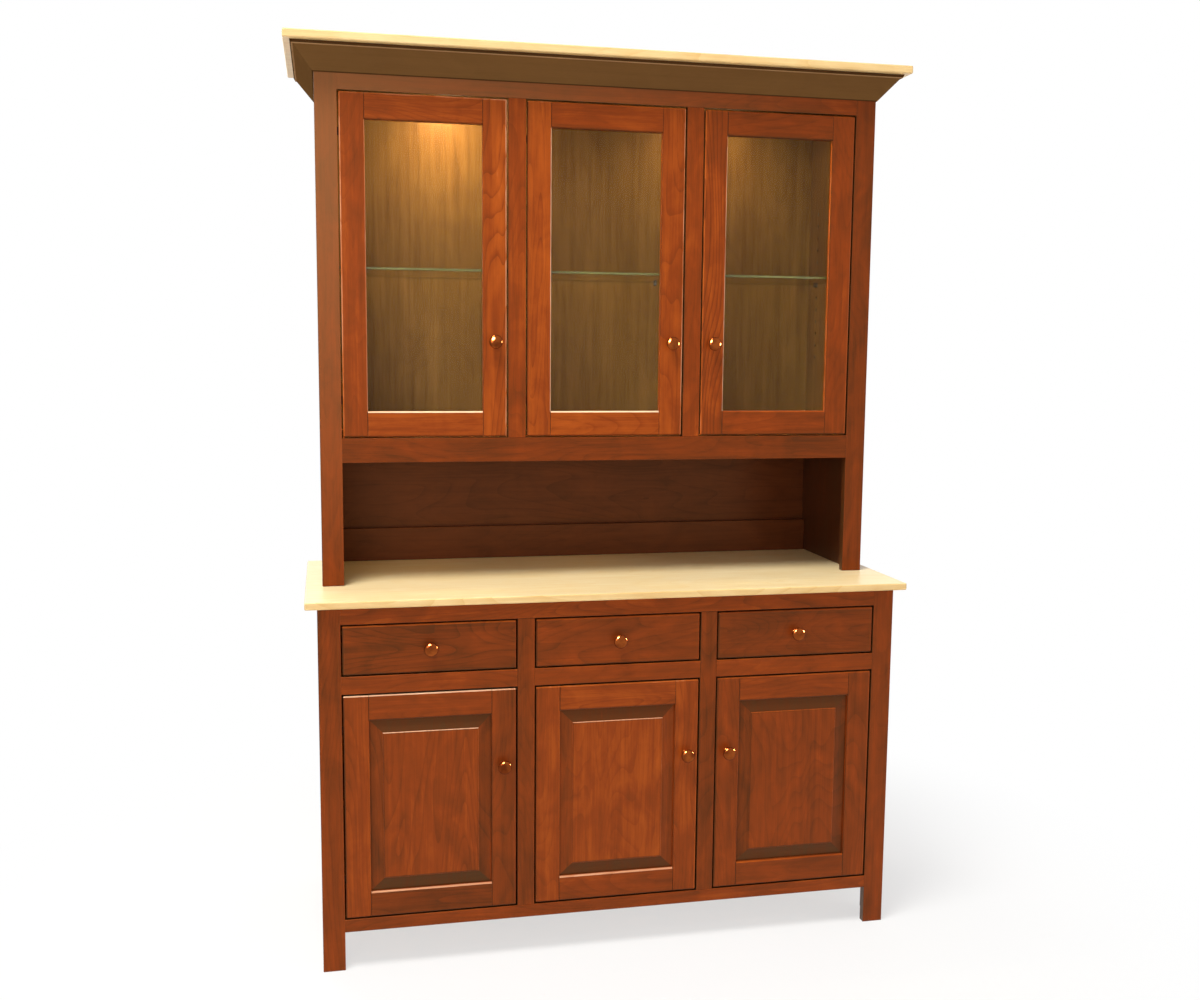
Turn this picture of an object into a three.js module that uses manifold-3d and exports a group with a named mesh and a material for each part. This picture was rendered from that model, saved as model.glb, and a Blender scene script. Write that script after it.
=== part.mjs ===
// Step back cupboard: a base with three doors and three drawers, a counter,
// and a shallower hutch with an open niche, three glazed doors and a sprung crown.
// Millimetres, +Z up, front towards -Y. The origin lies on the floor, under the
// middle of the box that holds the whole cupboard.

import * as THREE from "three";
import { mergeVertices } from "three/addons/utils/BufferGeometryUtils.js";
import Module from "manifold-3d";

const wasm = await Module();
wasm.setup();

// Driving dimensions of the case
const caseWidth = 1372;
const caseDepth = 546;
const baseHeight = 847;
const hutchHeight = 1224;
const hutchInset = 12;
const stepBack = 172;
const frameThickness = 19;
const sideThickness = 19;
const shelfThickness = 19;
const backThickness = 10;
const backRebate = 9;

// Counter and top board
const counterThickness = 17;
const counterSideOverhang = 27;
const counterFrontOverhang = 17;
const topThickness = 19;
const topOverhang = 65;

// Base face frame
const baseStile = 50;
const baseMullion = 40;
const footHeight = 91;
const apronHeight = 30;
const middleRail = 41;
const drawerOpening = 118;
const baseTopRail = 39;
const sideFootDepth = 70;

// Hutch face frame and niche
const hutchStile = 50;
const hutchMullion = 42;
const nicheHeight = 290;
const nicheBackRailHeight = 86;
const hutchBottomRail = 57;
const hutchTopRail = 92.5;

// Crown moulding: a sprung board with a small lip under the top board
const crownHeight = 57;
const crownReach = 50;
const crownFoot = 5;
const crownBoard = 14;
const crownLipHeight = 8;
const crownLipStep = 3.5;
const crownLipLean = 3.5;

// Doors
const doorThickness = 19;
const doorGap = 3;
const doorStile = 57;
const doorRail = 59.5;
const glassThickness = 4;
const glassRebateWidth = 8;
const glassRebateDepth = 9;
const glassClearance = 1;
const tongueThickness = 6;
const tongueReach = 8;
const grooveReach = 10;
const panelSetback = 8;
const panelEdge = 0.5;
const bevelWidth = 30;
const bevelRise = 4.5;
const fieldStep = 1.5;

// Shelves
const glassShelfThickness = 6;
const glassShelfSetback = 30;
const woodShelfSetback = 34;
const shelfEndClearance = 1.5;
const pinRadius = 3;
const pinReach = 10;
const pinRoot = 3;
const sidePinInset = 60;

// Drawers
const drawerFrontThickness = 19;
const drawerBoxDepth = 480;
const drawerBoxHeight = 112;
const drawerWall = 12;
const drawerBottom = 8;
const guideHeight = 40;
const dividerThickness = 19;
const kickerReach = 14;

// Knobs and concealed hinges
const knobRadius = 16;
const knobReach = 25;
const shankRadius = 2.5;
const shankLength = 14;
const upperKnobHeight = 226;
const lowerKnobDrop = 184.5;
const cupRadius = 17.5;
const cupDepth = 11.5;
const cupInset = 22.5;
const hingePlateThickness = 3;
const hingePlateHeight = 52;
const hingePlateMargin = 5;
const hingeLap = 15;
const hingeInset = 85;

// Fits: the seam is left between pieces that lie on each other
const seam = 0.3;
const cutOverrun = 5;

// Facets of the turned pieces
const knobFacets = 24;
const cupFacets = 24;
const boreFacets = 12;
const pinFacets = 12;

// Worked out from the sizes above
const halfCase = caseWidth / 2;
const halfHutch = halfCase - hutchInset;
const hutchDepth = caseDepth - stepBack;
const faceY = (knobReach - caseDepth) / 2;
const counterTop = baseHeight + counterThickness;
const baseDoorBottom = footHeight + apronHeight;
const baseDoorOpening = baseHeight - baseTopRail - drawerOpening - middleRail - baseDoorBottom;
const drawerFloor = baseDoorBottom + baseDoorOpening + middleRail;
const hutchDoorBottom = nicheHeight + hutchBottomRail;
const hutchDoorOpening = hutchHeight - hutchTopRail - hutchDoorBottom;
const baseBay = (caseWidth - 2 * baseStile - 2 * baseMullion) / 3;
const hutchBay = (2 * halfHutch - 2 * hutchStile - 2 * hutchMullion) / 3;
const bays = [-1, 0, 1];
const bayNames = ["left", "middle", "right"];
const hingeSides = [-1, -1, 1];

// Finishes
const finishes = {
  cherry: { color: 0x8a4322, roughness: 0.35, metalness: 0 },
  darkCherry: { color: 0x3a1f14, roughness: 0.5, metalness: 0 },
  maple: { color: 0xecd09a, roughness: 0.4, metalness: 0 },
  inside: { color: 0xb98a52, roughness: 0.6, metalness: 0 },
  glass: { color: 0xcfe0d4, roughness: 0.05, metalness: 0, transparent: true, opacity: 0.35 },
  bronze: { color: 0x8c4a2c, roughness: 0.25, metalness: 0.9 },
  steel: { color: 0xb8bcc0, roughness: 0.35, metalness: 0.9 },
};

function piece(name, finish, geometry) {
  const mesh = new THREE.Mesh(geometry, new THREE.MeshStandardMaterial(finishes[finish]));
  mesh.name = name;
  return mesh;
}

// A straight board that spans the given ranges of x, y and z
function boardGeometry([x0, x1], [y0, y1], [z0, z1]) {
  const geometry = new THREE.BoxGeometry(x1 - x0, y1 - y0, z1 - z0);
  geometry.translate((x0 + x1) / 2, (y0 + y1) / 2, (z0 + z1) / 2);
  return geometry;
}

function board(name, finish, spanX, spanY, spanZ) {
  return piece(name, finish, boardGeometry(spanX, spanY, spanZ));
}

function toSolid(geometry) {
  const bare = geometry.clone();
  bare.deleteAttribute("normal");
  bare.deleteAttribute("uv");
  const merged = mergeVertices(bare);
  const vertProperties = new Float32Array(merged.attributes.position.array);
  const triVerts = new Uint32Array(merged.index.array);
  return new wasm.Manifold(new wasm.Mesh({ numProp: 3, vertProperties, triVerts }));
}

function toGeometry(solid) {
  const { vertProperties, triVerts } = solid.getMesh();
  const geometry = new THREE.BufferGeometry();
  geometry.setAttribute("position", new THREE.BufferAttribute(vertProperties, 3));
  geometry.setIndex(new THREE.BufferAttribute(triVerts, 1));
  geometry.computeVertexNormals();
  return geometry;
}

// Joins some geometries and cuts others out of the result
function carve(joined, cuts = []) {
  let solid = toSolid(joined[0]);
  for (const geometry of joined.slice(1)) {
    solid = solid.add(toSolid(geometry));
  }
  for (const geometry of cuts) {
    solid = solid.subtract(toSolid(geometry));
  }
  return toGeometry(solid);
}

function outline(points) {
  return new THREE.Shape(points.map(([a, b]) => new THREE.Vector2(a, b)));
}

function rectangle([a0, a1], [b0, b1]) {
  return [[a0, b0], [a1, b0], [a1, b1], [a0, b1]];
}

// Extrudes an outline drawn in x and z, from the plane y = back towards the front
function extrudeToFront(shape, depth, back, options = {}) {
  const geometry = new THREE.ExtrudeGeometry(shape, { depth, bevelEnabled: false, ...options });
  geometry.rotateX(Math.PI / 2);
  geometry.translate(0, back, 0);
  return geometry;
}

// Extrudes an outline drawn in y and z, from the plane x = start towards +x
function extrudeSideways(shape, depth, start) {
  const geometry = new THREE.ExtrudeGeometry(shape, { depth, bevelEnabled: false });
  const turn = new THREE.Matrix4();
  turn.set(0, 0, 1, 0, 1, 0, 0, 0, 0, 1, 0, 0, 0, 0, 0, 1);
  geometry.applyMatrix4(turn);
  geometry.translate(start, 0, 0);
  return geometry;
}

// A round bar whose axis runs along y, between the planes y0 and y1
function barAlongY(radius, x, z, [y0, y1], facets) {
  const geometry = new THREE.CylinderGeometry(radius, radius, y1 - y0, facets);
  geometry.translate(x, (y0 + y1) / 2, z);
  return geometry;
}

function barAlongX(radius, y, z, [x0, x1], facets) {
  const geometry = new THREE.CylinderGeometry(radius, radius, x1 - x0, facets);
  geometry.rotateZ(Math.PI / 2);
  geometry.translate((x0 + x1) / 2, y, z);
  return geometry;
}

// The middle of a bay: -1 is the left bay, 0 the middle one and 1 the right one
function bayCentre(bay, bayWidth, mullion) {
  return bay * (bayWidth + mullion);
}

// Cuts an opening of a bay through the face frame
function bayCut(bay, bayWidth, mullion, zRange) {
  const centre = bayCentre(bay, bayWidth, mullion);
  const spanX = [centre - bayWidth / 2, centre + bayWidth / 2];
  return boardGeometry(spanX, [-cutOverrun, frameThickness + cutOverrun], zRange);
}

function mullionCentre(side, bayWidth, mullion) {
  return side * (bayWidth + mullion) / 2;
}

// A face frame before its openings are cut: a board with an open notch at its foot
function faceFrameBlank(half, stile, notchHeight, [foot, head]) {
  const inner = half - stile;
  const shape = outline([
    [-half, foot], [-inner, foot], [-inner, notchHeight], [inner, notchHeight],
    [inner, foot], [half, foot], [half, head], [-half, head],
  ]);
  return extrudeToFront(shape, frameThickness, frameThickness);
}

// Pins behind the mullions that carry the front edge of a shelf
function mullionPins(bayWidth, mullion, shelfUnderside, shelfSetback) {
  const height = shelfUnderside - seam - pinRadius;
  const reach = [frameThickness - pinRoot, shelfSetback + pinReach];
  return [-1, 1].map((side) =>
    barAlongY(pinRadius, mullionCentre(side, bayWidth, mullion), height, reach, pinFacets));
}

// Pins in the back board, in line with the mullions
function backPins(bayWidth, mullion, shelfUnderside, backFront) {
  const height = shelfUnderside - seam - pinRadius;
  const reach = [backFront - pinReach, backFront + pinRoot];
  return [-1, 1].map((side) =>
    barAlongY(pinRadius, mullionCentre(side, bayWidth, mullion), height, reach, pinFacets));
}

// Pins in a case side that carry the end of a shelf
function sidePins(side, innerFace, shelfUnderside, [front, back]) {
  const height = shelfUnderside - seam - pinRadius;
  const reach = side < 0
    ? [-innerFace - pinRoot, -innerFace + pinReach]
    : [innerFace - pinReach, innerFace + pinRoot];
  return [front + sidePinInset, back - sidePinInset].map((y) =>
    barAlongX(pinRadius, y, height, reach, pinFacets));
}

// The span of a side board in x, on the left (-1) or the right (1)
function sideSpan(side, outer, thickness) {
  return side < 0 ? [-outer, -outer + thickness] : [outer - thickness, outer];
}

// The rebate that a back board lies in, cut into the rear inner corner of a side
function backRebateCut(side, innerFace, depth, [z0, z1]) {
  const spanX = side < 0
    ? [-innerFace - backRebate, -innerFace + cutOverrun]
    : [innerFace - cutOverrun, innerFace + backRebate];
  return boardGeometry(spanX, [depth - backThickness - seam, depth + cutOverrun], [z0, z1]);
}

function mirrorSpan(side, [near, far]) {
  return side < 0 ? [-far, -near] : [near, far];
}

// Base

const baseInner = halfCase - sideThickness;
const baseBackFront = caseDepth - backThickness;
const baseInside = [frameThickness + seam, baseBackFront - seam];
const baseShelfUnderside = baseDoorBottom + (baseDoorOpening - shelfThickness) / 2;

function baseFaceFrame() {
  const cuts = bays.flatMap((bay) => [
    bayCut(bay, baseBay, baseMullion, [baseDoorBottom, baseDoorBottom + baseDoorOpening]),
    bayCut(bay, baseBay, baseMullion, [drawerFloor, drawerFloor + drawerOpening]),
  ]);
  const blank = faceFrameBlank(halfCase, baseStile, footHeight, [0, baseHeight - seam]);
  const pins = mullionPins(baseBay, baseMullion, baseShelfUnderside, woodShelfSetback);
  return piece("base_face_frame", "cherry", carve([blank, ...pins], cuts));
}

// A base side stands on a front and a back foot, guides the drawer next to it,
// and holds that drawer down with a kicker
function baseSide(side, name) {
  const front = frameThickness + seam;
  const panel = extrudeSideways(outline([
    [front, 0], [front + sideFootDepth, 0], [front + sideFootDepth, footHeight],
    [caseDepth - sideFootDepth, footHeight], [caseDepth - sideFootDepth, 0],
    [caseDepth, 0], [caseDepth, baseHeight - seam], [front, baseHeight - seam],
  ]), sideThickness, sideSpan(side, halfCase, sideThickness)[0]);
  const openingEdge = halfCase - baseStile;
  const overlap = baseInner + pinRoot;
  const guide = boardGeometry(
    mirrorSpan(side, [openingEdge, overlap]), baseInside,
    [drawerFloor + seam, drawerFloor + guideHeight]);
  const kicker = boardGeometry(
    mirrorSpan(side, [openingEdge - kickerReach, overlap]), baseInside,
    [drawerFloor + drawerOpening, baseHeight - seam]);
  const pins = sidePins(side, baseInner, baseShelfUnderside, baseInside);
  const rebate = backRebateCut(
    side, baseInner, caseDepth, [footHeight - seam, baseHeight + cutOverrun]);
  return piece(name, "cherry", carve([panel, guide, kicker, ...pins], [rebate]));
}

function baseBack() {
  const half = baseInner + backRebate - seam;
  const panel = boardGeometry(
    [-half, half], [baseBackFront, caseDepth], [footHeight, baseHeight - seam]);
  const pins = backPins(baseBay, baseMullion, baseShelfUnderside, baseBackFront);
  return piece("base_back", "inside", carve([panel, ...pins]));
}

function baseLevel(name, finish, topHeight) {
  const half = baseInner - seam;
  return board(name, finish, [-half, half], baseInside, [topHeight - shelfThickness, topHeight]);
}

function baseShelf() {
  const half = baseInner - shelfEndClearance;
  return board(
    "base_shelf", "inside", [-half, half], [woodShelfSetback, baseInside[1]],
    [baseShelfUnderside, baseShelfUnderside + shelfThickness]);
}

// A drawer divider is an upright web with a guide at its foot and a kicker at its head
function drawerDivider(side, name) {
  const centre = mullionCentre(side, baseBay, baseMullion);
  const web = dividerThickness / 2;
  const guide = baseMullion / 2;
  const kicker = guide + kickerReach;
  const foot = drawerFloor + seam;
  const shoulder = drawerFloor + guideHeight;
  const kickerFoot = drawerFloor + drawerOpening;
  const head = baseHeight - seam;
  const half = [
    [guide, foot], [guide, shoulder], [web, shoulder], [web, kickerFoot],
    [kicker, kickerFoot], [kicker, head],
  ];
  const mirrored = half.map(([x, z]) => [-x, z]).reverse();
  const shape = outline([...half, ...mirrored].map(([x, z]) => [x + centre, z]));
  const depth = baseInside[1] - baseInside[0];
  return piece(name, "inside", extrudeToFront(shape, depth, baseInside[1]));
}

function counter() {
  const half = halfCase + counterSideOverhang;
  return board(
    "countertop", "maple", [-half, half], [-counterFrontOverhang, caseDepth],
    [baseHeight, counterTop]);
}

// Hutch, measured from its own face plane and from the top of the counter

const hutchInner = halfHutch - sideThickness;
const hutchBackFront = hutchDepth - backThickness;
const hutchInside = [frameThickness + seam, hutchBackFront - seam];
const glassShelfUnderside = hutchDoorBottom + (hutchDoorOpening - glassShelfThickness) / 2;

function hutchFaceFrame() {
  const doorRange = [hutchDoorBottom, hutchDoorBottom + hutchDoorOpening];
  const cuts = bays.map((bay) => bayCut(bay, hutchBay, hutchMullion, doorRange));
  const blank = faceFrameBlank(halfHutch, hutchStile, nicheHeight, [seam, hutchHeight - seam]);
  const pins = mullionPins(hutchBay, hutchMullion, glassShelfUnderside, glassShelfSetback);
  return piece("hutch_face_frame", "cherry", carve([blank, ...pins], cuts));
}

function hutchSide(side, name) {
  const front = frameThickness + seam;
  const panel = boardGeometry(
    sideSpan(side, halfHutch, sideThickness), [front, hutchDepth], [seam, hutchHeight - seam]);
  const pins = sidePins(side, hutchInner, glassShelfUnderside, hutchInside);
  const rebate = backRebateCut(
    side, hutchInner, hutchDepth, [-cutOverrun, hutchHeight + cutOverrun]);
  return piece(name, "cherry", carve([panel, ...pins], [rebate]));
}

function hutchBack() {
  const half = hutchInner + backRebate - seam;
  const panel = boardGeometry(
    [-half, half], [hutchBackFront, hutchDepth], [seam, hutchHeight - seam]);
  const pins = backPins(hutchBay, hutchMullion, glassShelfUnderside, hutchBackFront);
  return piece("hutch_back", "darkCherry", carve([panel, ...pins]));
}

function hutchFloor() {
  const half = hutchInner - seam;
  return board(
    "hutch_floor", "cherry", [-half, half], hutchInside,
    [hutchDoorBottom - shelfThickness, hutchDoorBottom]);
}

function nicheBackRail() {
  const half = hutchInner - seam;
  return board(
    "niche_back_rail", "darkCherry", [-half, half],
    [hutchInside[1] - frameThickness, hutchInside[1]], [seam, nicheBackRailHeight]);
}

function glassShelf() {
  const half = hutchInner - shelfEndClearance;
  return board(
    "glass_shelf", "glass", [-half, half], [glassShelfSetback, hutchInside[1]],
    [glassShelfUnderside, glassShelfUnderside + glassShelfThickness]);
}

// Crown: the section is drawn outwards from the case and up from its lower edge

function crownSection() {
  const lipFoot = crownHeight - crownLipHeight;
  const faceTop = crownReach - crownLipLean - crownLipStep;
  const run = faceTop - crownFoot;
  const slope = Math.hypot(run, lipFoot);
  const backShift = crownBoard * slope / run;
  const backReach = run * (crownHeight - seam - backShift) / lipFoot + crownFoot;
  const backFootHeight = backShift - lipFoot * (crownFoot - seam) / run;
  return outline([
    [seam, 0], [crownFoot, 0], [faceTop, lipFoot], [faceTop + crownLipStep, lipFoot],
    [crownReach, crownHeight - seam], [backReach, crownHeight - seam], [seam, backFootHeight],
  ]);
}

// Extrudes the section and turns it by the given matrix rows. Then moveEnd slides each
// vertex along the run to the end that it lies at, so that the ends can be mitred
function crownRun(name, rows, moveEnd) {
  const geometry = new THREE.ExtrudeGeometry(
    crownSection(), { depth: 2 * halfHutch, bevelEnabled: false });
  geometry.translate(0, 0, -halfHutch);
  const turn = new THREE.Matrix4();
  turn.set(...rows);
  geometry.applyMatrix4(turn);
  const positions = geometry.attributes.position;
  for (let i = 0; i < positions.count; i += 1) {
    const vertex = new THREE.Vector3().fromBufferAttribute(positions, i);
    moveEnd(vertex);
    positions.setXYZ(i, vertex.x, vertex.y, vertex.z);
  }
  geometry.computeVertexNormals();
  return piece(name, "cherry", geometry);
}

function crownFront() {
  const rows = [0, 0, -1, 0, -1, 0, 0, 0, 0, 1, 0, 0, 0, 0, 0, 1];
  const mitreSeam = seam * Math.SQRT2;
  return crownRun("crown_front", rows, (vertex) => {
    const reach = -vertex.y;
    vertex.x = Math.sign(vertex.x) * (halfHutch + reach - mitreSeam);
  });
}

function crownSide(side, name) {
  const rows = [side, 0, 0, 0, 0, 0, -side, 0, 0, 1, 0, 0, 0, 0, 0, 1];
  return crownRun(name, rows, (vertex) => {
    const reach = Math.abs(vertex.x);
    vertex.x = side * (halfHutch + reach);
    vertex.y = vertex.y < 0 ? -reach : hutchDepth;
  });
}

function topBoard() {
  const half = halfHutch + topOverhang;
  return board(
    "top_board", "maple", [-half, half], [-topOverhang, hutchDepth],
    [hutchHeight, hutchHeight + topThickness]);
}

// Doors, measured from the middle of their opening at its lower edge

// Radius as a share of the knob's radius, and reach as a share of the knob's reach
const knobShares = [
  [0.56, 0.02], [0.53, 0.11], [0.4, 0.22], [0.35, 0.38], [0.45, 0.5], [0.8, 0.58],
  [0.98, 0.68], [1, 0.78], [0.9, 0.88], [0.62, 0.96], [0.3, 0.995],
];

function knob(name, x, z) {
  const turned = knobShares.map(([radiusShare, reachShare]) =>
    new THREE.Vector2(radiusShare * knobRadius, Math.max(reachShare * knobReach, seam)));
  const profile = [
    new THREE.Vector2(0, -shankLength),
    new THREE.Vector2(shankRadius, -shankLength),
    new THREE.Vector2(shankRadius, turned[0].y),
    ...turned,
    new THREE.Vector2(0, knobReach),
  ];
  const geometry = new THREE.LatheGeometry(profile, knobFacets);
  geometry.rotateX(Math.PI);
  const mesh = piece(name, "bronze", geometry);
  mesh.position.set(x, 0, z);
  return mesh;
}

function knobBore(x, z) {
  return barAlongY(
    shankRadius + seam, x, z, [-cutOverrun, shankLength + seam], boreFacets);
}

function cupCentre(hingeSide, doorWidth) {
  return hingeSide * (doorWidth / 2 - cupInset);
}

function cupBore(hingeSide, doorWidth, z) {
  const span = [doorThickness - cupDepth - seam, doorThickness + cutOverrun];
  return barAlongY(cupRadius, cupCentre(hingeSide, doorWidth), z, span, cupFacets);
}

// A concealed hinge: a cup in the door's stile, on a plate that laps behind the case's stile
function hinge(name, hingeSide, doorWidth, z) {
  const plateBack = doorThickness + seam + hingePlateThickness;
  const outerEnd = doorWidth / 2 + doorGap + hingeLap;
  const innerEnd = doorWidth / 2 - cupInset - cupRadius - hingePlateMargin;
  const plate = boardGeometry(
    mirrorSpan(hingeSide, [innerEnd, outerEnd]), [doorThickness + seam, plateBack],
    [z - hingePlateHeight / 2, z + hingePlateHeight / 2]);
  const cup = barAlongY(
    cupRadius - seam, cupCentre(hingeSide, doorWidth), z,
    [doorThickness - cupDepth, plateBack - hingePlateThickness / 2], cupFacets);
  return piece(name, "steel", carve([plate, cup]));
}

// The opening within a door's frame, widened all round by the given amount
function doorLight(width, height, widening) {
  const half = width / 2 - doorStile + widening;
  const foot = doorGap + doorRail - widening;
  const head = doorGap + height - doorRail + widening;
  return [[-half, half], [foot, head]];
}

function hingeHeights(height) {
  return { bottom: doorGap + hingeInset, top: doorGap + height - hingeInset };
}

function doorParts(name, width, height, hingeSide, knobZ, frameCuts, frameParts) {
  const knobX = hingeSide * (doorStile / 2 - width / 2);
  const heights = hingeHeights(height);
  const blank = boardGeometry(
    [-width / 2, width / 2], [0, doorThickness], [doorGap, doorGap + height]);
  const [lightX, lightZ] = doorLight(width, height, 0);
  const light = boardGeometry(lightX, [-cutOverrun, doorThickness + cutOverrun], lightZ);
  const cuts = [light, knobBore(knobX, knobZ), ...frameCuts];
  const hinges = [];
  for (const [end, z] of Object.entries(heights)) {
    cuts.push(cupBore(hingeSide, width, z));
    hinges.push(hinge(`${name}_hinge_${end}`, hingeSide, width, z));
  }
  const group = new THREE.Group();
  group.add(piece(`${name}_frame`, "cherry", carve([blank], cuts)));
  group.add(knob(`${name}_knob`, knobX, knobZ));
  group.add(...hinges, ...frameParts);
  return group;
}

function glassDoor(name, hingeSide) {
  const width = hutchBay - 2 * doorGap;
  const height = hutchDoorOpening - 2 * doorGap;
  const rebateFront = doorThickness - glassRebateDepth;
  const [rebateX, rebateZ] = doorLight(width, height, glassRebateWidth);
  const rebate = boardGeometry(rebateX, [rebateFront, doorThickness + cutOverrun], rebateZ);
  const [paneX, paneZ] = doorLight(width, height, glassRebateWidth - glassClearance);
  const paneFront = rebateFront + seam;
  const pane = board(
    `${name}_glass`, "glass", paneX, [paneFront, paneFront + glassThickness], paneZ);
  return doorParts(name, width, height, hingeSide, upperKnobHeight, [rebate], [pane]);
}

// A raised panel: a tongue all round, a wide bevel, and a field one small step higher
function raisedPanel(name, width, height) {
  const tongueBack = panelSetback + tongueThickness;
  const [tongueX, tongueZ] = doorLight(width, height, tongueReach);
  const tongue = boardGeometry(tongueX, [panelSetback, tongueBack], tongueZ);
  const [raiseX, raiseZ] = doorLight(width, height, -seam);
  const raise = extrudeToFront(outline(rectangle(raiseX, raiseZ)), panelEdge, panelSetback, {
    bevelEnabled: true, bevelSegments: 1, bevelThickness: bevelRise,
    bevelSize: bevelWidth, bevelOffset: -bevelWidth,
  });
  const [fieldX, fieldZ] = doorLight(width, height, -seam - bevelWidth);
  const fieldFront = panelSetback - panelEdge - bevelRise - fieldStep;
  const field = boardGeometry(fieldX, [fieldFront, panelSetback], fieldZ);
  return piece(name, "cherry", carve([tongue, raise, field]));
}

function panelDoor(name, hingeSide) {
  const width = baseBay - 2 * doorGap;
  const height = baseDoorOpening - 2 * doorGap;
  const [grooveX, grooveZ] = doorLight(width, height, grooveReach);
  const groove = boardGeometry(
    grooveX, [panelSetback - seam, panelSetback + tongueThickness + seam], grooveZ);
  const knobZ = baseDoorOpening - lowerKnobDrop;
  const panel = raisedPanel(`${name}_panel`, width, height);
  return doorParts(name, width, height, hingeSide, knobZ, [groove], [panel]);
}

// A drawer, measured from the middle of its opening at its lower edge
function drawer(name) {
  const half = baseBay / 2 - doorGap;
  const frontTop = drawerOpening - doorGap;
  const knobZ = drawerOpening / 2;
  const panel = boardGeometry([-half, half], [0, drawerFrontThickness], [doorGap, frontTop]);
  const front = piece(`${name}_front`, "cherry", carve([panel], [knobBore(0, knobZ)]));
  const boxFront = drawerFrontThickness + seam;
  const boxBack = boxFront + drawerBoxDepth;
  const shell = boardGeometry([-half, half], [boxFront, boxBack], [seam, drawerBoxHeight]);
  const cavity = boardGeometry(
    [drawerWall - half, half - drawerWall], [boxFront + drawerWall, boxBack - drawerWall],
    [seam + drawerBottom, drawerBoxHeight + cutOverrun]);
  const group = new THREE.Group();
  group.add(front);
  group.add(piece(`${name}_box`, "inside", carve([shell], [cavity])));
  group.add(knob(`${name}_knob`, 0, knobZ));
  return group;
}

function baseGroup() {
  const group = new THREE.Group();
  group.add(baseFaceFrame());
  group.add(baseSide(-1, "base_left_side"), baseSide(1, "base_right_side"));
  group.add(baseBack());
  group.add(baseLevel("base_floor", "inside", baseDoorBottom));
  group.add(baseLevel("drawer_deck", "inside", drawerFloor));
  group.add(baseShelf());
  group.add(drawerDivider(-1, "drawer_divider_left"), drawerDivider(1, "drawer_divider_right"));
  group.add(counter());
  for (const [index, bay] of bays.entries()) {
    const centre = bayCentre(bay, baseBay, baseMullion);
    const door = panelDoor(`base_door_${bayNames[index]}`, hingeSides[index]);
    door.position.set(centre, 0, baseDoorBottom);
    const box = drawer(`drawer_${bayNames[index]}`);
    box.position.set(centre, 0, drawerFloor);
    group.add(door, box);
  }
  return group;
}

function hutchGroup() {
  const group = new THREE.Group();
  group.position.set(0, stepBack, counterTop);
  group.add(hutchFaceFrame());
  group.add(hutchSide(-1, "hutch_left_side"), hutchSide(1, "hutch_right_side"));
  group.add(hutchBack(), hutchFloor(), nicheBackRail(), glassShelf());
  for (const [index, bay] of bays.entries()) {
    const door = glassDoor(`glass_door_${bayNames[index]}`, hingeSides[index]);
    door.position.set(bayCentre(bay, hutchBay, hutchMullion), 0, hutchDoorBottom);
    group.add(door);
  }
  const crown = new THREE.Group();
  crown.position.set(0, 0, hutchHeight - crownHeight);
  crown.add(crownFront(), crownSide(-1, "crown_left"), crownSide(1, "crown_right"));
  group.add(crown, topBoard());
  return group;
}

const cupboard = new THREE.Group();
cupboard.position.set(0, faceY, 0);
cupboard.add(baseGroup(), hutchGroup());

export default cupboard;
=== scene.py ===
"""Dresses the step back cupboard: boards with their own grain, mouldings, glass and fittings.

Metres, +Z up, front towards -Y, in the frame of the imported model.
"""

import math
import random
from itertools import product

import bmesh
import bpy
from mathutils import Matrix, Vector


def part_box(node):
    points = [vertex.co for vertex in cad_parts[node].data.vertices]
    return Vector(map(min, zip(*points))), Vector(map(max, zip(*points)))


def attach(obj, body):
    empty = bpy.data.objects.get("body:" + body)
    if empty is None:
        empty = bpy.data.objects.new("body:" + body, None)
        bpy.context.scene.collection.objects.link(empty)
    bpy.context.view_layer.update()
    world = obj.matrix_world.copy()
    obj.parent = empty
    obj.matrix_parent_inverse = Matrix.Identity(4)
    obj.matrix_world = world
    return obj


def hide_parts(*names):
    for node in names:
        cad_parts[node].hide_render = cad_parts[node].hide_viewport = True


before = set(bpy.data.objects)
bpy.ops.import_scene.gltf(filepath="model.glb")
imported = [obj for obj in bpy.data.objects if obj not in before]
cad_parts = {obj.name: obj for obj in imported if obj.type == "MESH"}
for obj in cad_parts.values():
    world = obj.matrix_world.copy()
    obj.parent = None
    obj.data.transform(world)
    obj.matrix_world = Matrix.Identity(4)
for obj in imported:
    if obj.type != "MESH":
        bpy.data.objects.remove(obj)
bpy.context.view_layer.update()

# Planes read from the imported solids
base_low, base_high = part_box("base_face_frame")
hutch_low, hutch_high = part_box("hutch_face_frame")
counter_low, counter_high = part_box("countertop")
face_y, hutch_y, back_y = base_low.y, hutch_low.y, counter_high.y
half_case, half_hutch = base_high.x, hutch_high.x
base_top, counter_z = counter_low.z, counter_high.z
hutch_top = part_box("top_board")[0].z

# How far a notch is cut past the board that it is in
overcut = 0.01

# Sizes of the case, as in the part's source
seam = 0.0003
board_thickness = 0.019
back_thickness = 0.010
back_rebate = 0.009
case_stile = 0.050
base_mullion = 0.040
foot_height = 0.091
apron_height = 0.030
middle_rail = 0.041
drawer_opening = 0.118
base_top_rail = 0.039
side_foot_depth = 0.070
guide_height = 0.040
kicker_lap = 0.014
edging_depth = 0.006
hutch_mullion = 0.042
niche_height = 0.290
hutch_bottom_rail = 0.057
hutch_top_rail = 0.0925
base_bay = (2 * half_case - 2 * case_stile - 2 * base_mullion) / 3
hutch_bay = (2 * half_hutch - 2 * case_stile - 2 * hutch_mullion) / 3
base_inner = half_case - board_thickness
hutch_inner = half_hutch - board_thickness
door_foot = foot_height + apron_height
drawer_floor = base_top - base_top_rail - drawer_opening
hutch_door_foot = counter_z + niche_height + hutch_bottom_rail
back_face = back_y - back_thickness
base_depth = (face_y + board_thickness + seam, back_face - seam)
hutch_depth = (hutch_y + board_thickness + seam, back_face - seam)

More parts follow.
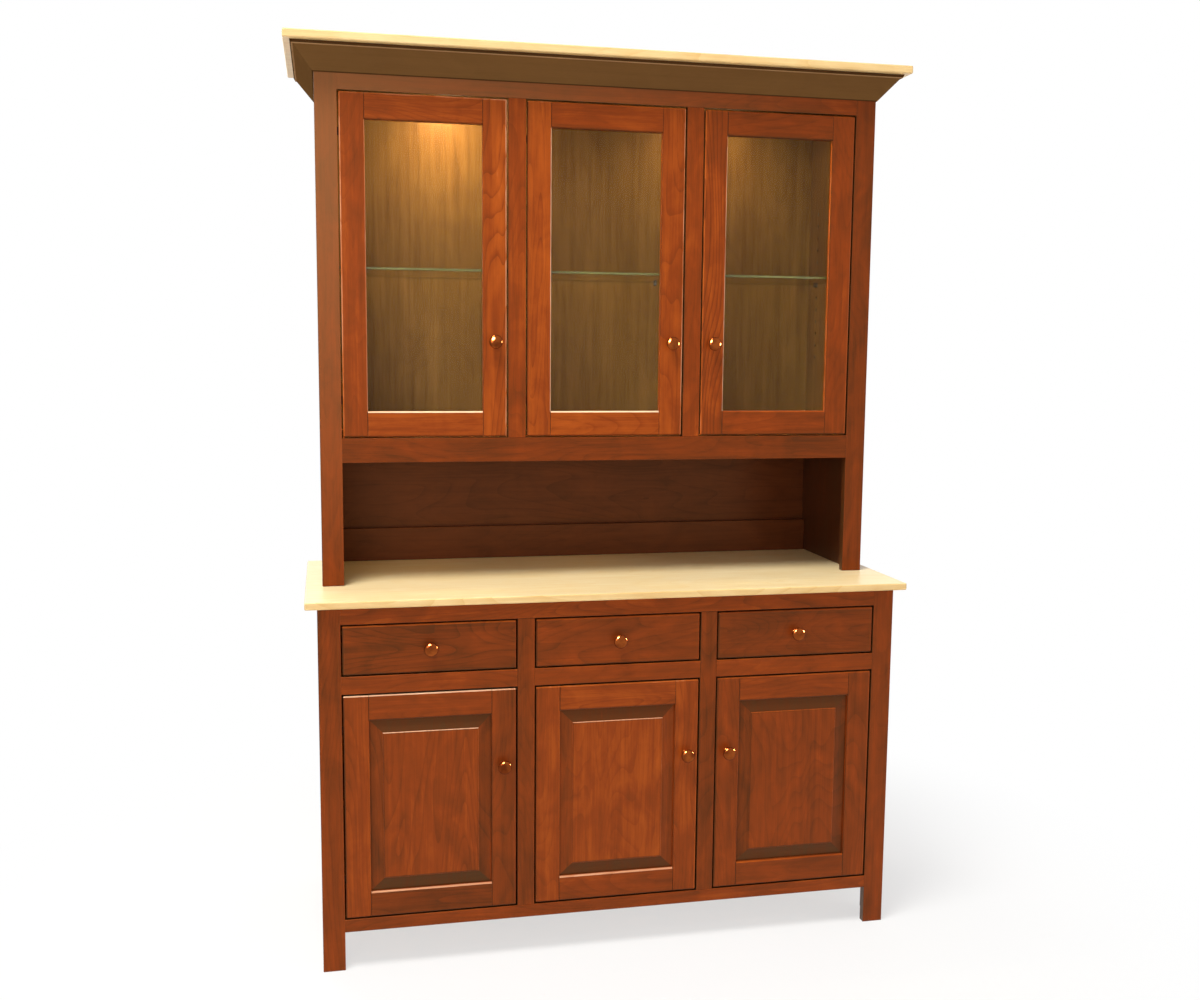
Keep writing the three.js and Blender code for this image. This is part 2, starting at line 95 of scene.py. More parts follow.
# Sizes of the doors, drawers and fittings
door_stile = 0.057
door_rail = 0.0595
door_gap = 0.003
rebate_width = 0.008
rebate_depth = 0.009
pane_clearance = 0.001
bead_clearance = 0.0004
panel_groove = 0.010
panel_setback = 0.008
tongue_thickness = 0.006
tongue_reach = 0.008
bevel_width = 0.030
field_setback = 0.0015
drawer_wall = 0.012
drawer_groove = 0.006
knob_radius = 0.016
knob_reach = 0.025
cup_radius = 0.0175
cup_inset = 0.0225
cup_depth = 0.0115
hinge_lap = 0.015
hinge_inset = 0.085
pin_inset = 0.060
hole_pitch = 0.032
puck_x = 0.346
puck_y = 0.08
puck_watts = ((-1, 2.5), (1, 1.3))

# How far the edges of the boards are eased, and the shares of it at a joint
frame_ease = 0.0014
door_ease = 0.0034
top_ease = 0.0034
inside_ease = 0.0012
panel_ease = 0.0006
steel_ease = 0.0005
joint_share = 0.12
stile_share = 0.45

# Tones of painted shade, in the gaps and on the sides that face away from the light, and of a
# painted highlight on an arris
painted_shade = -1.0
painted_highlight = 1.2

# The tones of each door's left and right stile, top and bottom rail and panel. Then how strong
# the painted highlight is on its outer arrises (upper, right, left), and in its opening at the
# foot, on the left arris and on the right side
doors = {
    "glass_door_left": ((-0.08, 0.16, 0.0, 0.14), (0.4, 0.45, 0.45), 1.0, 0.55, 0.3),
    "glass_door_middle": ((0.16, 0.1, 0.04, 0.16), (0.2, 0.45, 0.0), 1.0, 0.9, 0.15),
    "glass_door_right": ((-0.02, -0.08, -0.14, -0.14), (0.2, 0.2, 0.25), 0.25, 0.9, 0.4),
    "base_door_left": ((-0.03, -0.2, -0.08, -0.25, 0.0), (0.95, 0.2, 0.0), 0.9, 0.2, 0.1),
    "base_door_middle": ((0.03, -0.02, 0.0, -0.02, 0.1), (0.3, 0.2, 0.0), 0.65, 0.2, 0.1),
    "base_door_right": (
        (-0.06, -0.12, -0.06, -0.14, -0.12), (0.25, 0.2, 0.0), 0.25, 0.2, 0.1),
}

# Boards that show a stronger figure than the rest
figures = {"glass_door_right_stile_left": 3.2, "glass_door_left_stile_right": 2.0}

# The side on which each bay's doors hinge, and the tone and the painted highlight of its
# drawer's face
bays = {"left": (-1, -0.29, 0.5), "middle": (-1, -0.14, 0.2), "right": (1, -0.21, 0.2)}

sides = (("left", -1), ("right", 1))


def display(red, green, blue):
    """A colour given as it shows on a screen, made linear."""
    shares = (red / 255, green / 255, blue / 255)
    linear = [s / 12.92 if s <= 0.04045 else ((s + 0.055) / 1.055) ** 2.4 for s in shares]
    return (*linear, 1.0)


class Net:
    """A node tree, with short words for what goes into it."""

    prefix = "ShaderNode"

    def __init__(self, tree):
        self.tree = tree

    def add(self, kind, inputs=None, **settings):
        node = self.tree.nodes.new(kind if "Node" in kind else self.prefix + kind)
        for key, value in settings.items():
            setattr(node, key, value)
        return self.fill(node, inputs or {})

    def fill(self, node, inputs):
        """Links the inputs that are given as a socket, or a list of them, and sets the rest."""
        for key, value in inputs.items():
            for one in value if isinstance(value, list) else [value]:
                if isinstance(one, bpy.types.NodeSocket):
                    self.tree.links.new(one, node.inputs[key])
                else:
                    node.inputs[key].default_value = one
        return node

    def put(self, kind, inputs=None, out=0, **settings):
        """Adds a node and gives one of its outputs."""
        return self.add(kind, inputs, **settings).outputs[out]

    def maths(self, operation, first, second=0.0, clamp=False):
        return self.put(
            "ShaderNodeMath", {0: first, 1: second}, operation=operation, use_clamp=clamp)

    def plus(self, first, second):
        return self.maths("ADD", first, second)

    def minus(self, first, second, clamp=False):
        return self.maths("SUBTRACT", first, second, clamp)

    def times(self, first, second, clamp=False):
        return self.maths("MULTIPLY", first, second, clamp)

    def vector(self, x=0.0, y=0.0, z=0.0):
        return self.put("ShaderNodeCombineXYZ", {0: x, 1: y, 2: z})

    def vectors(self, operation, inputs, out=0):
        return self.put("ShaderNodeVectorMath", inputs, out, operation=operation)

    def mix(self, share, first, second):
        return self.put("Mix", {0: share, 6: first, 7: second}, 2, data_type="RGBA")

    def mix_shaders(self, share, first, second):
        return self.put("MixShader", {0: share, 1: first, 2: second})

    def noise(self, place, scale, detail=2.0, roughness=0.5, distortion=0.0):
        return self.put("TexNoise", {
            "Vector": place, "Scale": scale, "Detail": detail, "Roughness": roughness,
            "Distortion": distortion}, "Fac")

    def place(self):
        return self.put("TexCoord", out="Object")


class Group(Net):
    """A node group; each input is given by its first value, or by its kind if it has none."""

    def __init__(self, name, kind, inputs, outputs):
        super().__init__(bpy.data.node_groups.new(name, kind))
        kinds = {int: "Int", float: "Float", 3: "Vector", 4: "Color"}
        for label, value in inputs.items():
            if isinstance(value, str):
                self.socket(label, "INPUT", value)
            else:
                kind = kinds[len(value) if isinstance(value, tuple) else type(value)]
                self.socket(label, "INPUT", kind).default_value = value
        for label, kind in outputs.items():
            self.socket(label, "OUTPUT", kind)
        self.given = self.add("NodeGroupInput").outputs
        self.result = self.add("NodeGroupOutput")

    def socket(self, label, side, kind):
        return self.tree.interface.new_socket(
            label, in_out=side, socket_type=f"NodeSocket{kind}")

    def close(self, outputs):
        self.fill(self.result, outputs)
        return self.tree


# Shader groups

surface_outputs = {"Color": "Color", "Roughness": "Float", "Height": "Float"}


def build_wood_group():
    """Wood from a board's own grain: growth rings, streaks, clouds and pores.

    The tone stored on a board goes below the dark colour towards a painted shade, and above
    the light one towards a painted highlight. A painted sheen lies over all of it.
    """
    net = Group("wood_grain", "ShaderNodeTree", {
        "Painted Shade": (0.05, 0.03, 0.01, 1), "Painted Highlight": (0.7, 0.4, 0.2, 1),
        "Dark": (0.1, 0.03, 0.01, 1), "Middle": (0.2, 0.06, 0.02, 1),
        "Light": (0.3, 0.1, 0.03, 1), "Painted Sheen": display(150, 107, 68), "Ring Count": 34.0,
        "Ring Share": 0.3, "Streak Share": 0.3, "Cloud Share": 0.6, "Pore Share": 0.3,
    }, surface_outputs)
    given, mix, plus, minus, times = net.given, net.mix, net.plus, net.minus, net.times
    place = net.put("Attribute", out="Vector", attribute_name="grain")
    tone, figure, bloom = (
        net.put("Attribute", out="Fac", attribute_name=name)
        for name in ("tone", "figure", "bloom"))

    def drawn_out(along, across, detail, roughness, distortion=0.0):
        """Noise on the board's own place, drawn out along the grain."""
        scaled = net.vectors("MULTIPLY", {0: place, 1: net.vector(along, across, across)})
        return net.noise(scaled, 1.0, detail, roughness, distortion)

    field = drawn_out(1.1, 6.5, 1.6, 0.42, 0.25)
    late = net.maths("POWER", net.maths("FRACT", times(field, given["Ring Count"])), 5.0)
    rings = times(times(late, given["Ring Share"]), figure)
    fine = drawn_out(7.0, 300.0, 3.0, 0.6)
    streaks = minus(plus(fine, times(drawn_out(2.6, 62.0, 3.0, 0.6, 0.2), 1.6)), 1.3)
    clouds = minus(drawn_out(8.0, 17.0, 3.0, 0.6, 0.8), 0.5)
    pores = times(minus(drawn_out(60.0, 1500.0, 1.0, 0.5), 0.62), 8.0, clamp=True)

    level = plus(plus(0.5, tone), times(clouds, given["Cloud Share"]))
    level = minus(plus(level, times(streaks, given["Streak Share"])), rings)
    level = minus(level, times(pores, given["Pore Share"]))
    colour = mix(times(level, 2.0, clamp=True), given["Dark"], given["Middle"])
    colour = mix(times(minus(level, 0.5), 2.0, clamp=True), colour, given["Light"])
    # Below the dark colour it runs to the painted shade, above the light one to the painted
    # highlight
    colour = mix(times(level, -1.7, clamp=True), colour, given["Painted Shade"])
    colour = mix(minus(level, 0.9, clamp=True), colour, given["Painted Highlight"])
    # A painted sheen, a pale wash, is laid over the colour where a board stores one
    return net.close({
        "Color": mix(bloom, colour, given["Painted Sheen"]),
        "Roughness": plus(plus(times(fine, 0.16), 0.24), times(pores, 0.15)),
        "Height": minus(minus(fine, times(pores, 1.2)), times(late, 0.5)),
    })


def build_patina_group():
    """Handled metal: cloudy tarnish and fine scratches round the piece."""
    net = Group("metal_patina", "ShaderNodeTree", {
        "Bright": (0.5, 0.2, 0.1, 1), "Tarnished": (0.2, 0.07, 0.04, 1),
        "Smoothest": 0.15, "Roughest": 0.4, "Cloud Size": 120.0}, surface_outputs)
    given, place = net.given, net.place()
    clouds = net.noise(place, given["Cloud Size"], 3.0)
    share = net.times(net.minus(clouds, 0.38), 3.2, clamp=True)
    spread = net.minus(given["Roughest"], given["Smoothest"])
    return net.close({
        "Color": net.mix(share, given["Bright"], given["Tarnished"]),
        "Roughness": net.plus(given["Smoothest"], net.times(spread, share)),
        "Height": net.noise(place, 1400.0, 1.0),
    })


wood_group = build_wood_group()
patina_group = build_patina_group()


# Materials


def new_material(name, sockets):
    """A material of one shader; gives its net, its shader and the surface's node too."""
    material = bpy.data.materials.new(name)
    material.use_nodes = True
    net = Net(material.node_tree)
    net.tree.nodes.clear()
    shader = net.add("BsdfPrincipled", sockets)
    return material, net, shader, net.add("OutputMaterial", {"Surface": shader.outputs[0]})


def grouped_material(name, group, values, bump_strength, bump_distance, sockets):
    """A material whose colour, roughness and bump come from a shader group."""
    material, net, shader, _ = new_material(name, sockets)
    made = net.add("Group", values, node_tree=group).outputs
    bump = net.put("Bump", {
        "Height": made["Height"], "Strength": bump_strength, "Distance": bump_distance})
    net.fill(shader, {
        "Base Color": made["Color"], "Roughness": made["Roughness"], "Normal": bump})
    return material


def wood_material(
    name, dark, middle, light, shares, ring_count=34.0, specular=0.4,
    sheen=(1.0, 0.5, 0.24, 1.0), painted_shade_in=(58, 40, 22), painted_highlight_to=(238, 196, 150),
):
    labels = ("Dark", "Middle", "Light", "Painted Shade", "Painted Highlight")
    colours = [display(*colour) for colour in (dark, middle, light, painted_shade_in, painted_highlight_to)]
    labels += ("Ring Share", "Streak Share", "Cloud Share", "Pore Share", "Ring Count")
    values = dict(zip(labels, [*colours, *shares, ring_count]))
    return grouped_material(name, wood_group, values, 0.2, 0.0004, {
        "Specular IOR Level": specular, "Specular Tint": sheen})


def metal_material(name, bright, tarnished, smoothest, roughest, size, bump, metallic):
    return grouped_material(name, patina_group, {
        "Bright": display(*bright), "Tarnished": display(*tarnished),
        "Smoothest": smoothest, "Roughest": roughest, "Cloud Size": size,
    }, bump, 0.0002, {"Metallic": metallic})


def glass_material():
    """Clear glass that lets lamps through to what stands behind it."""
    tint = (0.95, 0.975, 0.935, 1.0)
    material, net, shader, output = new_material("clear_glass", {
        "Base Color": tint, "Transmission Weight": 1.0, "IOR": 1.14, "Roughness": 0.0})
    clear = net.put("BsdfTransparent", {"Color": tint})
    shadow = net.put("LightPath", out="Is Shadow Ray")
    net.fill(output, {"Surface": net.mix_shaders(shadow, shader.outputs[0], clear)})
    return material


def glass_edge_material():
    material, net, shader, _ = new_material("glass_edge", {"Roughness": 0.12})
    colour = display(104, 98, 52)
    darker = tuple(0.7 * c for c in colour[:3]) + (1.0,)
    net.fill(shader, {"Base Color": net.mix(net.noise(net.place(), 40.0), colour, darker)})
    return material


def lens_material():
    """Frosted glass that glows, unevenly as a moulded lens does."""
    material, net, shader, _ = new_material("puck_lens", {
        "Emission Strength": 1.6, "Roughness": 0.35})
    cells = net.put("TexVoronoi", {"Vector": net.place(), "Scale": 260.0}, "Distance")
    shade = net.mix(cells, display(255, 226, 170), display(255, 206, 130))
    net.fill(shader, {"Base Color": shade, "Emission Color": shade})
    return material


clear_glass, glass_edge = glass_material(), glass_edge_material()

# Each finish is a material and the record's slot that it belongs to
finishes = {
    "cherry": (wood_material(
        "cherry", (84, 38, 12), (134, 55, 15), (182, 87, 25), (0.15, 0.36, 0.7, 0.2),
        painted_shade_in=(70, 46, 24), painted_highlight_to=(246, 206, 170)), "cherry_case"),
    # The crown takes a paler, greyer copy of the cherry: a painted sheen, with its own gloss off
    "crown": (wood_material(
        "crown_painted_sheen_cherry", (88, 58, 32), (110, 78, 44), (126, 90, 50), (0.05, 0.14, 0.3, 0.1),
        specular=0.0), "cherry_case"),
    # The niche takes a darker copy of the cherry: painted shade of its recess
    "dark": (wood_material(
        "niche_shade_cherry", (66, 32, 16), (104, 52, 26), (128, 68, 34), (0.1, 0.24, 0.6, 0.15)),
        "dark_back"),
    "veneer": (wood_material(
        "back_veneer", (86, 56, 27), (121, 88, 42), (148, 110, 58), (0.24, 0.5, 0.5, 0.2)),
        "dark_back"),
    "interior": (wood_material(
        "interior_wood", (140, 96, 52), (186, 136, 76), (210, 162, 98),
        (0.3, 0.4, 0.8, 0.25)), "inside_wood"),
    "maple": (wood_material(
        "maple", (224, 182, 116), (244, 216, 158), (252, 234, 192), (0.18, 0.3, 0.5, 0.08),
        ring_count=22.0, specular=0.5, sheen=(1.0, 1.0, 1.0, 1.0),
        painted_shade_in=(206, 154, 84), painted_highlight_to=(250, 236, 204)), "maple_top"),
    "glass": (clear_glass, "clear_glass"),
    "lens": (lens_material(), "clear_glass"),
    "bronze": (metal_material(
        "bronze", (150, 76, 32), (100, 42, 16), 0.07, 0.15, 45.0, 0.02, 1.0), "bronze_knob"),
    "steel": (metal_material(
        "hinge_steel", (118, 113, 106), (82, 78, 74), 0.25, 0.42, 60.0, 0.05, 0.95),
        "hinge_steel"),
    # Painted shade for the hinge parts' front faces, which show in the door gaps
    "shaded": (metal_material(
        "shaded_steel", (38, 32, 27), (24, 20, 17), 0.5, 0.7, 60.0, 0.05, 0.2),
        "hinge_steel"),
}


# Geometry node trees


class Shape(Group):
    """A geometry node group that ends in Realize Instances and Set Material."""

    prefix = "GeometryNode"

    def __init__(self, name, inputs, output):
        super().__init__(
            name, "GeometryNodeTree", {**inputs, "Finish": "Material"}, {output: "Geometry"})

    def close(self, geometry):
        real = self.put("RealizeInstances", {0: geometry})
        return super().close({0: self.put(
            "SetMaterial", {"Geometry": real, "Material": self.given["Finish"]})})

    def stored(self, name):
        return self.put(
            "InputNamedAttribute", {"Name": name}, "Attribute", data_type="FLOAT_VECTOR")

    def parts(self, vector, axes):
        return [self.put("ShaderNodeSeparateXYZ", {0: vector}, axis) for axis in axes]

    def moved(self, geometry, position):
        return self.put("SetPosition", {"Geometry": geometry, "Position": position})

    def lifted(self, geometry, height):
        return self.put("Transform", {
            "Geometry": geometry, "Translation": self.vector(z=height)})

    def less(self, solid, cutter):
        return self.put(
            "MeshBoolean", {"Mesh 1": solid, "Mesh 2": cutter}, "Mesh", operation="DIFFERENCE")

    def on_points(self, part):
        """The part on each of the given points, turned as the point faces."""
        turn = self.put(
            "FunctionNodeAlignRotationToVector", {"Vector": self.stored("facing")}, axis="Z")
        return self.put("InstanceOnPoints", {
            "Points": self.given["Points"], "Instance": part, "Rotation": turn})


def build_moulding_tree():
    """Carries a section along a path with true mitres, or round an axis as a lathe does.

    Each point of the path holds the vector that the section's reach follows there.
    """
    net = Shape("moulding_run", {
        "Path": "Geometry", "Section": "Object", "Rise Direction": (0, 0, 1),
        "Path Wraps": 0, "Section Wraps": 1}, "Moulding")
    path = net.given["Path"]
    section = net.put("ObjectInfo", {"Object": net.given["Section"]}, "Geometry")

    def whole(operation, first, second):
        return net.put("FunctionNodeIntegerMath", {0: first, 1: second}, operation=operation)

    def sampled(geometry, value, index):
        return net.put(
            "SampleIndex", {"Geometry": geometry, "Value": value, "Index": index},
            data_type="FLOAT_VECTOR", domain="POINT")

    drawn, along = (
        net.put("AttributeDomainSize", {0: geometry}, "Point Count", component="MESH")
        for geometry in (section, path))
    rows = whole("ADD", drawn, net.given["Section Wraps"])
    columns = whole("ADD", along, net.given["Path Wraps"])
    grid = net.put("MeshGrid", {"Vertices X": columns, "Vertices Y": rows}, "Mesh")
    index, position = net.put("InputIndex"), net.put("InputPosition")
    row = whole("MODULO", whole("MODULO", index, rows), drawn)
    column = whole("MODULO", whole("DIVIDE", index, rows), along)
    reach, rise = net.parts(sampled(section, position, row), "XZ")
    place = sampled(path, position, column)
    for direction, distance in (
        (sampled(path, net.stored("mitre"), column), reach),
        (net.given["Rise Direction"], rise),
    ):
        offset = net.vectors("SCALE", {0: direction, "Scale": distance})
        place = net.vectors("ADD", {0: place, 1: offset})
    return net.close(net.put("MergeByDistance", {
        "Geometry": net.moved(grid, place), "Distance": 1e-6}))


def build_screw_tree():
    """Sets a cross-recessed screw head on each point, facing away from the surface."""
    net = Shape("screw_row", {
        "Points": "Geometry", "Head Radius": 0.0035, "Head Height": 0.0014,
        "Recess Width": 0.0009}, "Screws")
    radius, height, width = (
        net.given[label] for label in ("Head Radius", "Head Height", "Recess Width"))
    head = net.put("MeshCone", {
        "Vertices": 20, "Radius Top": net.times(radius, 0.72), "Radius Bottom": radius,
        "Depth": height}, "Mesh")
    length, level = net.times(radius, 1.1), net.times(height, 0.95)
    bars = [
        net.lifted(net.put("MeshCube", {"Size": net.vector(*plan, height)}, "Mesh"), level)
        for plan in ((length, width), (width, length))]
    return net.close(net.on_points(net.less(head, net.put("JoinGeometry", {0: bars}))))


def build_sleeve_tree():
    """Lines a row of shelf holes with small sleeves."""
    net = Shape("sleeve_row", {
        "Points": "Geometry", "Sleeve Radius": 0.0042, "Hole Radius": 0.0028,
        "Sleeve Reach": 0.0008}, "Sleeves")
    reach = net.given["Sleeve Reach"]
    outside, inside = (
        net.put("MeshCylinder", {
            "Vertices": 16, "Radius": net.given[label], "Depth": reach}, "Mesh")
        for label in ("Sleeve Radius", "Hole Radius"))
    return net.close(net.on_points(
        net.less(outside, net.lifted(inside, net.times(reach, 0.3)))))


def build_pin_tree():
    """Dovetail pins for the end of a drawer board, spread evenly over its height."""
    net = Shape("dovetail_pins", {
        "Board": "Geometry", "Pin Count": 3, "First Pin": (0, 0, 0), "Pin Step": 0.03,
        "Pin Width": 0.012, "Pin Depth": 0.012, "Pin Length": 0.012, "Pin Taper": 0.25,
    }, "Pinned Board")
    given = net.given
    size = net.vector(given["Pin Length"], given["Pin Depth"], given["Pin Width"])
    block = net.put("MeshCube", {"Size": size}, "Mesh")
    x, y, z = net.parts(net.put("InputPosition"), "XYZ")
    towards = net.maths("DIVIDE", y, net.maths("DIVIDE", given["Pin Depth"], 2.0))
    widening = net.plus(1.0, net.times(towards, given["Pin Taper"]))
    pin = net.moved(block, net.vector(x, y, net.times(z, widening)))
    line = net.put("MeshLine", {
        "Count": given["Pin Count"], "Start Location": given["First Pin"],
        "Offset": net.vector(z=given["Pin Step"])}, "Mesh", mode="OFFSET")
    pins = net.put("InstanceOnPoints", {"Points": line, "Instance": pin})
    real = net.put("RealizeInstances", {0: pins})
    return net.close(net.put(
        "MeshBoolean", {"Mesh 2": [given["Board"], real]}, "Mesh", operation="UNION"))


moulding_tree = build_moulding_tree()
screw_tree = build_screw_tree()
sleeve_tree = build_sleeve_tree()
pin_tree = build_pin_tree()


# Meshes


def link_object(name, data):
    made = bpy.data.objects.new(name, data)
    bpy.context.collection.objects.link(made)
    return made


def baked(mesh, kind, settings, values):
    """The plain mesh that one modifier makes; the values go to its tree's sockets."""
    carrier = link_object("carrier", mesh)
    modifier = carrier.modifiers.new("shaping", kind)
    for key, value in settings.items():
        setattr(modifier, key, value)
    for key, value in values.items():
        modifier[key] = value
    graph = bpy.context.evaluated_depsgraph_get()
    made = bpy.data.meshes.new_from_object(carrier.evaluated_get(graph))
    bpy.data.objects.remove(carrier)
    return made


def grown(mesh, tree, values):
    """The plain mesh that a tree makes of the given mesh."""
    keys = {
        item.name: item.identifier for item in tree.interface.items_tree
        if item.item_type == "SOCKET" and item.in_out == "INPUT"}
    return baked(mesh, "NODES", {"node_group": tree}, {
        keys[label]: value for label, value in values.items()})


def store(mesh, name, domain, values, kind="FLOAT"):
    key = "value" if kind == "FLOAT" else "vector"
    mesh.attributes.new(name, kind, domain).data.foreach_set(key, values)


def points_mesh(name, places, stored=None, vectors=()):
    """Loose points, each with the vector that is stored on it."""
    mesh = bpy.data.meshes.new(name)
    mesh.from_pydata([tuple(place) for place in places], [], [])
    if stored:
        flat = [n for vector in vectors for n in vector]
        store(mesh, stored, "POINT", flat, "FLOAT_VECTOR")
    return mesh


def lay_grain(mesh, along, name, tone, face_tone=None, figure=None, bloom=None):
    """Stores each board's own grain place, along the grain first, its tone and its figure.

    A board can have a tone for each face, from its normal, which carries its painted shade and
    highlights. Where a painted sheen lies on it, (axis, clear, dull, most) say between which
    places it grows.
    """
    order = {"X": (0, 1, 2), "Y": (1, 0, 2), "Z": (2, 0, 1)}[along]
    draw = random.Random(name)
    shift = [draw.uniform(0, 20) for _ in order]
    shade = tone + draw.uniform(-0.05, 0.05)
    strength = figure or draw.uniform(0.5, 1.5)
    count = len(mesh.vertices)
    store(mesh, "figure", "POINT", [strength] * count)
    places = [v.co[axis] + shift[i] for v in mesh.vertices for i, axis in enumerate(order)]
    store(mesh, "grain", "POINT", places, "FLOAT_VECTOR")
    if face_tone:
        store(mesh, "tone", "FACE", [shade + face_tone(face) for face in mesh.polygons])
    else:
        store(mesh, "tone", "POINT", [shade] * count)
    if bloom:
        axis, clear, dull, most = bloom
        store(mesh, "bloom", "POINT", [
            most * (v.co[axis] - clear) / (dull - clear) for v in mesh.vertices])


def smooth(mesh, angle=35):
    """Shades a mesh as round, but for its edges that turn by more than the angle."""
    for face in mesh.polygons:
        face.use_smooth = True
    if angle:
        mesh.set_sharp_from_angle(angle=math.radians(angle))
    return mesh


def eased(mesh, width, joints):
    """The mesh with its edges rounded: joints are (axis, place, share) of a joint's plane."""
    beside = {}
    for face in mesh.polygons:
        for key in face.edge_keys:
            beside.setdefault(key, []).append(face.normal)
    shares = []
    for edge in mesh.edges:
        ends = [mesh.vertices[i].co for i in edge.vertices]
        normals = beside[edge.key]
        share = 1.0 if normals[0].dot(normals[-1]) < 0.999 else 0.0
        for axis, place, joint in joints:
            if all(abs(end[axis] - place) < 1e-6 for end in ends):
                share = min(share, joint)
        shares.append(share)
    store(mesh, "bevel_weight_edge", "EDGE", shares)
    return baked(smooth(mesh, None), "BEVEL", {
        "width": width, "segments": 3, "limit_method": "WEIGHT", "harden_normals": True}, {})


def board_mesh(spans, notches=(), splits=()):
    """A board over three spans, less its notches, with faces only on its outside.

    A split is (axis, place) of a plane where the finish of a face may change.
    """
    stations = []
    for axis, (low, high) in enumerate(spans):
        cuts = {cut for notch in notches for cut in notch[axis] if low < cut < high}
        stations.append(sorted(cuts | {low, high}))

    def solid(cell):
        if any(not 0 <= cell[a] < len(stations[a]) - 1 for a in range(3)):
            return False
        middle = [(stations[a][cell[a]] + stations[a][cell[a] + 1]) / 2 for a in range(3)]
        return not any(
            all(notch[a][0] <= middle[a] <= notch[a][1] for a in range(3)) for notch in notches)

    build = bmesh.new()
    corners = {}
    for cell in filter(solid, product(*(range(len(places) - 1) for places in stations))):
        for axis, end in product(range(3), (0, 1)):
            beside = list(cell)
            beside[axis] += 2 * end - 1
            if solid(beside):
                continue
            first, second = (a for a in range(3) if a != axis)
            face = []
            for step_a, step_b in ((0, 0), (1, 0), (1, 1), (0, 1)):
                key = list(cell)
                key[axis] += end
                key[first] += step_a
                key[second] += step_b
                key = tuple(key)
                if key not in corners:
                    corners[key] = build.verts.new([stations[a][key[a]] for a in range(3)])
                face.append(corners[key])
            build.faces.new(face)
    bmesh.ops.recalc_face_normals(build, faces=build.faces)
    bmesh.ops.dissolve_limit(build, angle_limit=0.01, verts=build.verts, edges=build.edges)
    for axis, place in splits:
        normal = Vector([float(a == axis) for a in range(3)])
        bmesh.ops.bisect_plane(
            build, geom=[*build.verts, *build.edges, *build.faces], dist=1e-6,
            plane_co=normal * place, plane_no=normal)
    mesh = bpy.data.meshes.new("board")
    build.to_mesh(mesh)
    build.free()
    return mesh


def moulding(corners, mitres, points, rise=(0, 0, 1), path_wraps=False, section_wraps=True):
    """Runs a section along a path of corners; open ends are closed with a face."""
    section = link_object("section", points_mesh("section", [(r, 0, h) for r, h in points]))
    made = grown(points_mesh("path", corners, "mitre", mitres), moulding_tree, {
        "Section": section, "Rise Direction": tuple(rise),
        "Path Wraps": int(path_wraps), "Section Wraps": int(section_wraps)})
    bpy.data.objects.remove(section)
    build = bmesh.new()
    build.from_mesh(made)
    bmesh.ops.remove_doubles(build, verts=build.verts, dist=1e-6)
    bmesh.ops.holes_fill(build, edges=build.edges)
    bmesh.ops.recalc_face_normals(build, faces=build.faces)
    for layer in list(build.loops.layers.uv):
        build.loops.layers.uv.remove(layer)
    build.to_mesh(made)
    build.free()
    made.materials.clear()
    return made


def turned(centre, axis, points, facets):
    """A lathe-turned mesh: points are (radius, reach along the axis)."""
    axis = Vector(axis).normalized()
    side = axis.orthogonal().normalized()
    other = axis.cross(side)
    turns = [2 * math.pi * i / facets for i in range(facets)]
    spokes = [side * math.cos(turn) + other * math.sin(turn) for turn in turns]
    return moulding(
        [centre] * facets, spokes, points, axis, path_wraps=True, section_wraps=False)


def joined(meshes):
    """One mesh of several, with their materials and attributes kept."""
    build = bmesh.new()
    for mesh in meshes:
        build.from_mesh(mesh)
    made = bpy.data.meshes.new("joined")
    build.to_mesh(made)
    build.free()
    return made


# Tones of single faces


def arris_tone(face, highlight=0.15, side_rub=0.2):
    """Painted highlight on the upper and right arrises, and painted shade on the others."""
    out, side, up = face.normal.y, face.normal.x, face.normal.z
    if out > -0.1 or out < -0.98:
        return 0.0
    if up > 0.2:
        return highlight * painted_highlight
    return side_rub * painted_highlight if side > 0.2 else painted_shade / 3


def gap_tone(face, highlight=0.15):
    """As on the arrises, with painted shade on the sides that face a gap."""
    return painted_shade if abs(face.normal.y) < 0.1 else arris_tone(face, highlight)


def edge_tone(low, high, outer_highlights, inner_highlight, left_highlight, right_highlight):
    """Painted shade on a door's outer sides, and darker at its joints; in its opening, painted
    highlight on the lower and side faces and painted shade on the upper one.
    """
    upper, right, left = outer_highlights

    def tone(face):
        middle, side, up = face.center, face.normal.x, face.normal.z
        reach = min(middle.x - low.x, high.x - middle.x, middle.z - low.z, high.z - middle.z)
        beside = low.z + door_rail < middle.z < high.z - door_rail
        if reach < 0.001:
            return painted_shade
        if reach < door_ease:
            if left and side < -0.2 and face.normal.y > -0.98:
                return left * painted_highlight
            return arris_tone(face, upper, right)
        if abs(side) > 0.2 and not beside:
            return 0.4 * painted_shade
        if abs(face.normal.y) < 0.1:
            if abs(up) > 0.5:
                return 0.3 * (inner_highlight * painted_highlight if up > 0 else painted_shade)
            return (right_highlight if side < 0 else 0.3 * left_highlight) * painted_highlight
        return arris_tone(face, inner_highlight, left_highlight)
    return tone


def bevel_tone(highlight):
    """The bevels are darker, partly stain where they cut the ends of the grain and partly
    painted shade, most on the lower bevel; the upper and right-facing arrises take a painted
    highlight.
    """
    def tone(face):
        side, up = face.normal.x, face.normal.z
        lean = max(abs(side), abs(up))
        if lean < 0.05:
            return 0.0
        if up > 0.24:
            return highlight * painted_highlight
        if lean > 0.24:
            return 0.25 * painted_highlight if side > 0.24 else painted_shade / 4
        if abs(up) < 0.05:
            return 0.26 * painted_shade
        return ((0.62 if up < 0 else 0.46) + 0.22 * highlight) * painted_shade
    return tone


def slab_tone(face):
    """Pale boards are painted lighter on top, where the light falls, and more amber round their
    edges.
    """
    return 0.25 if face.normal.z > 0.9 else -0.3


def tone_towards(x, z, tone):
    """Gives the tone to the faces that look straight along x and z."""
    direction = Vector((x, 0, z))

    def towards(face):
        return tone if face.normal.dot(direction) > 0.97 else arris_tone(face)
    return towards


# Pieces


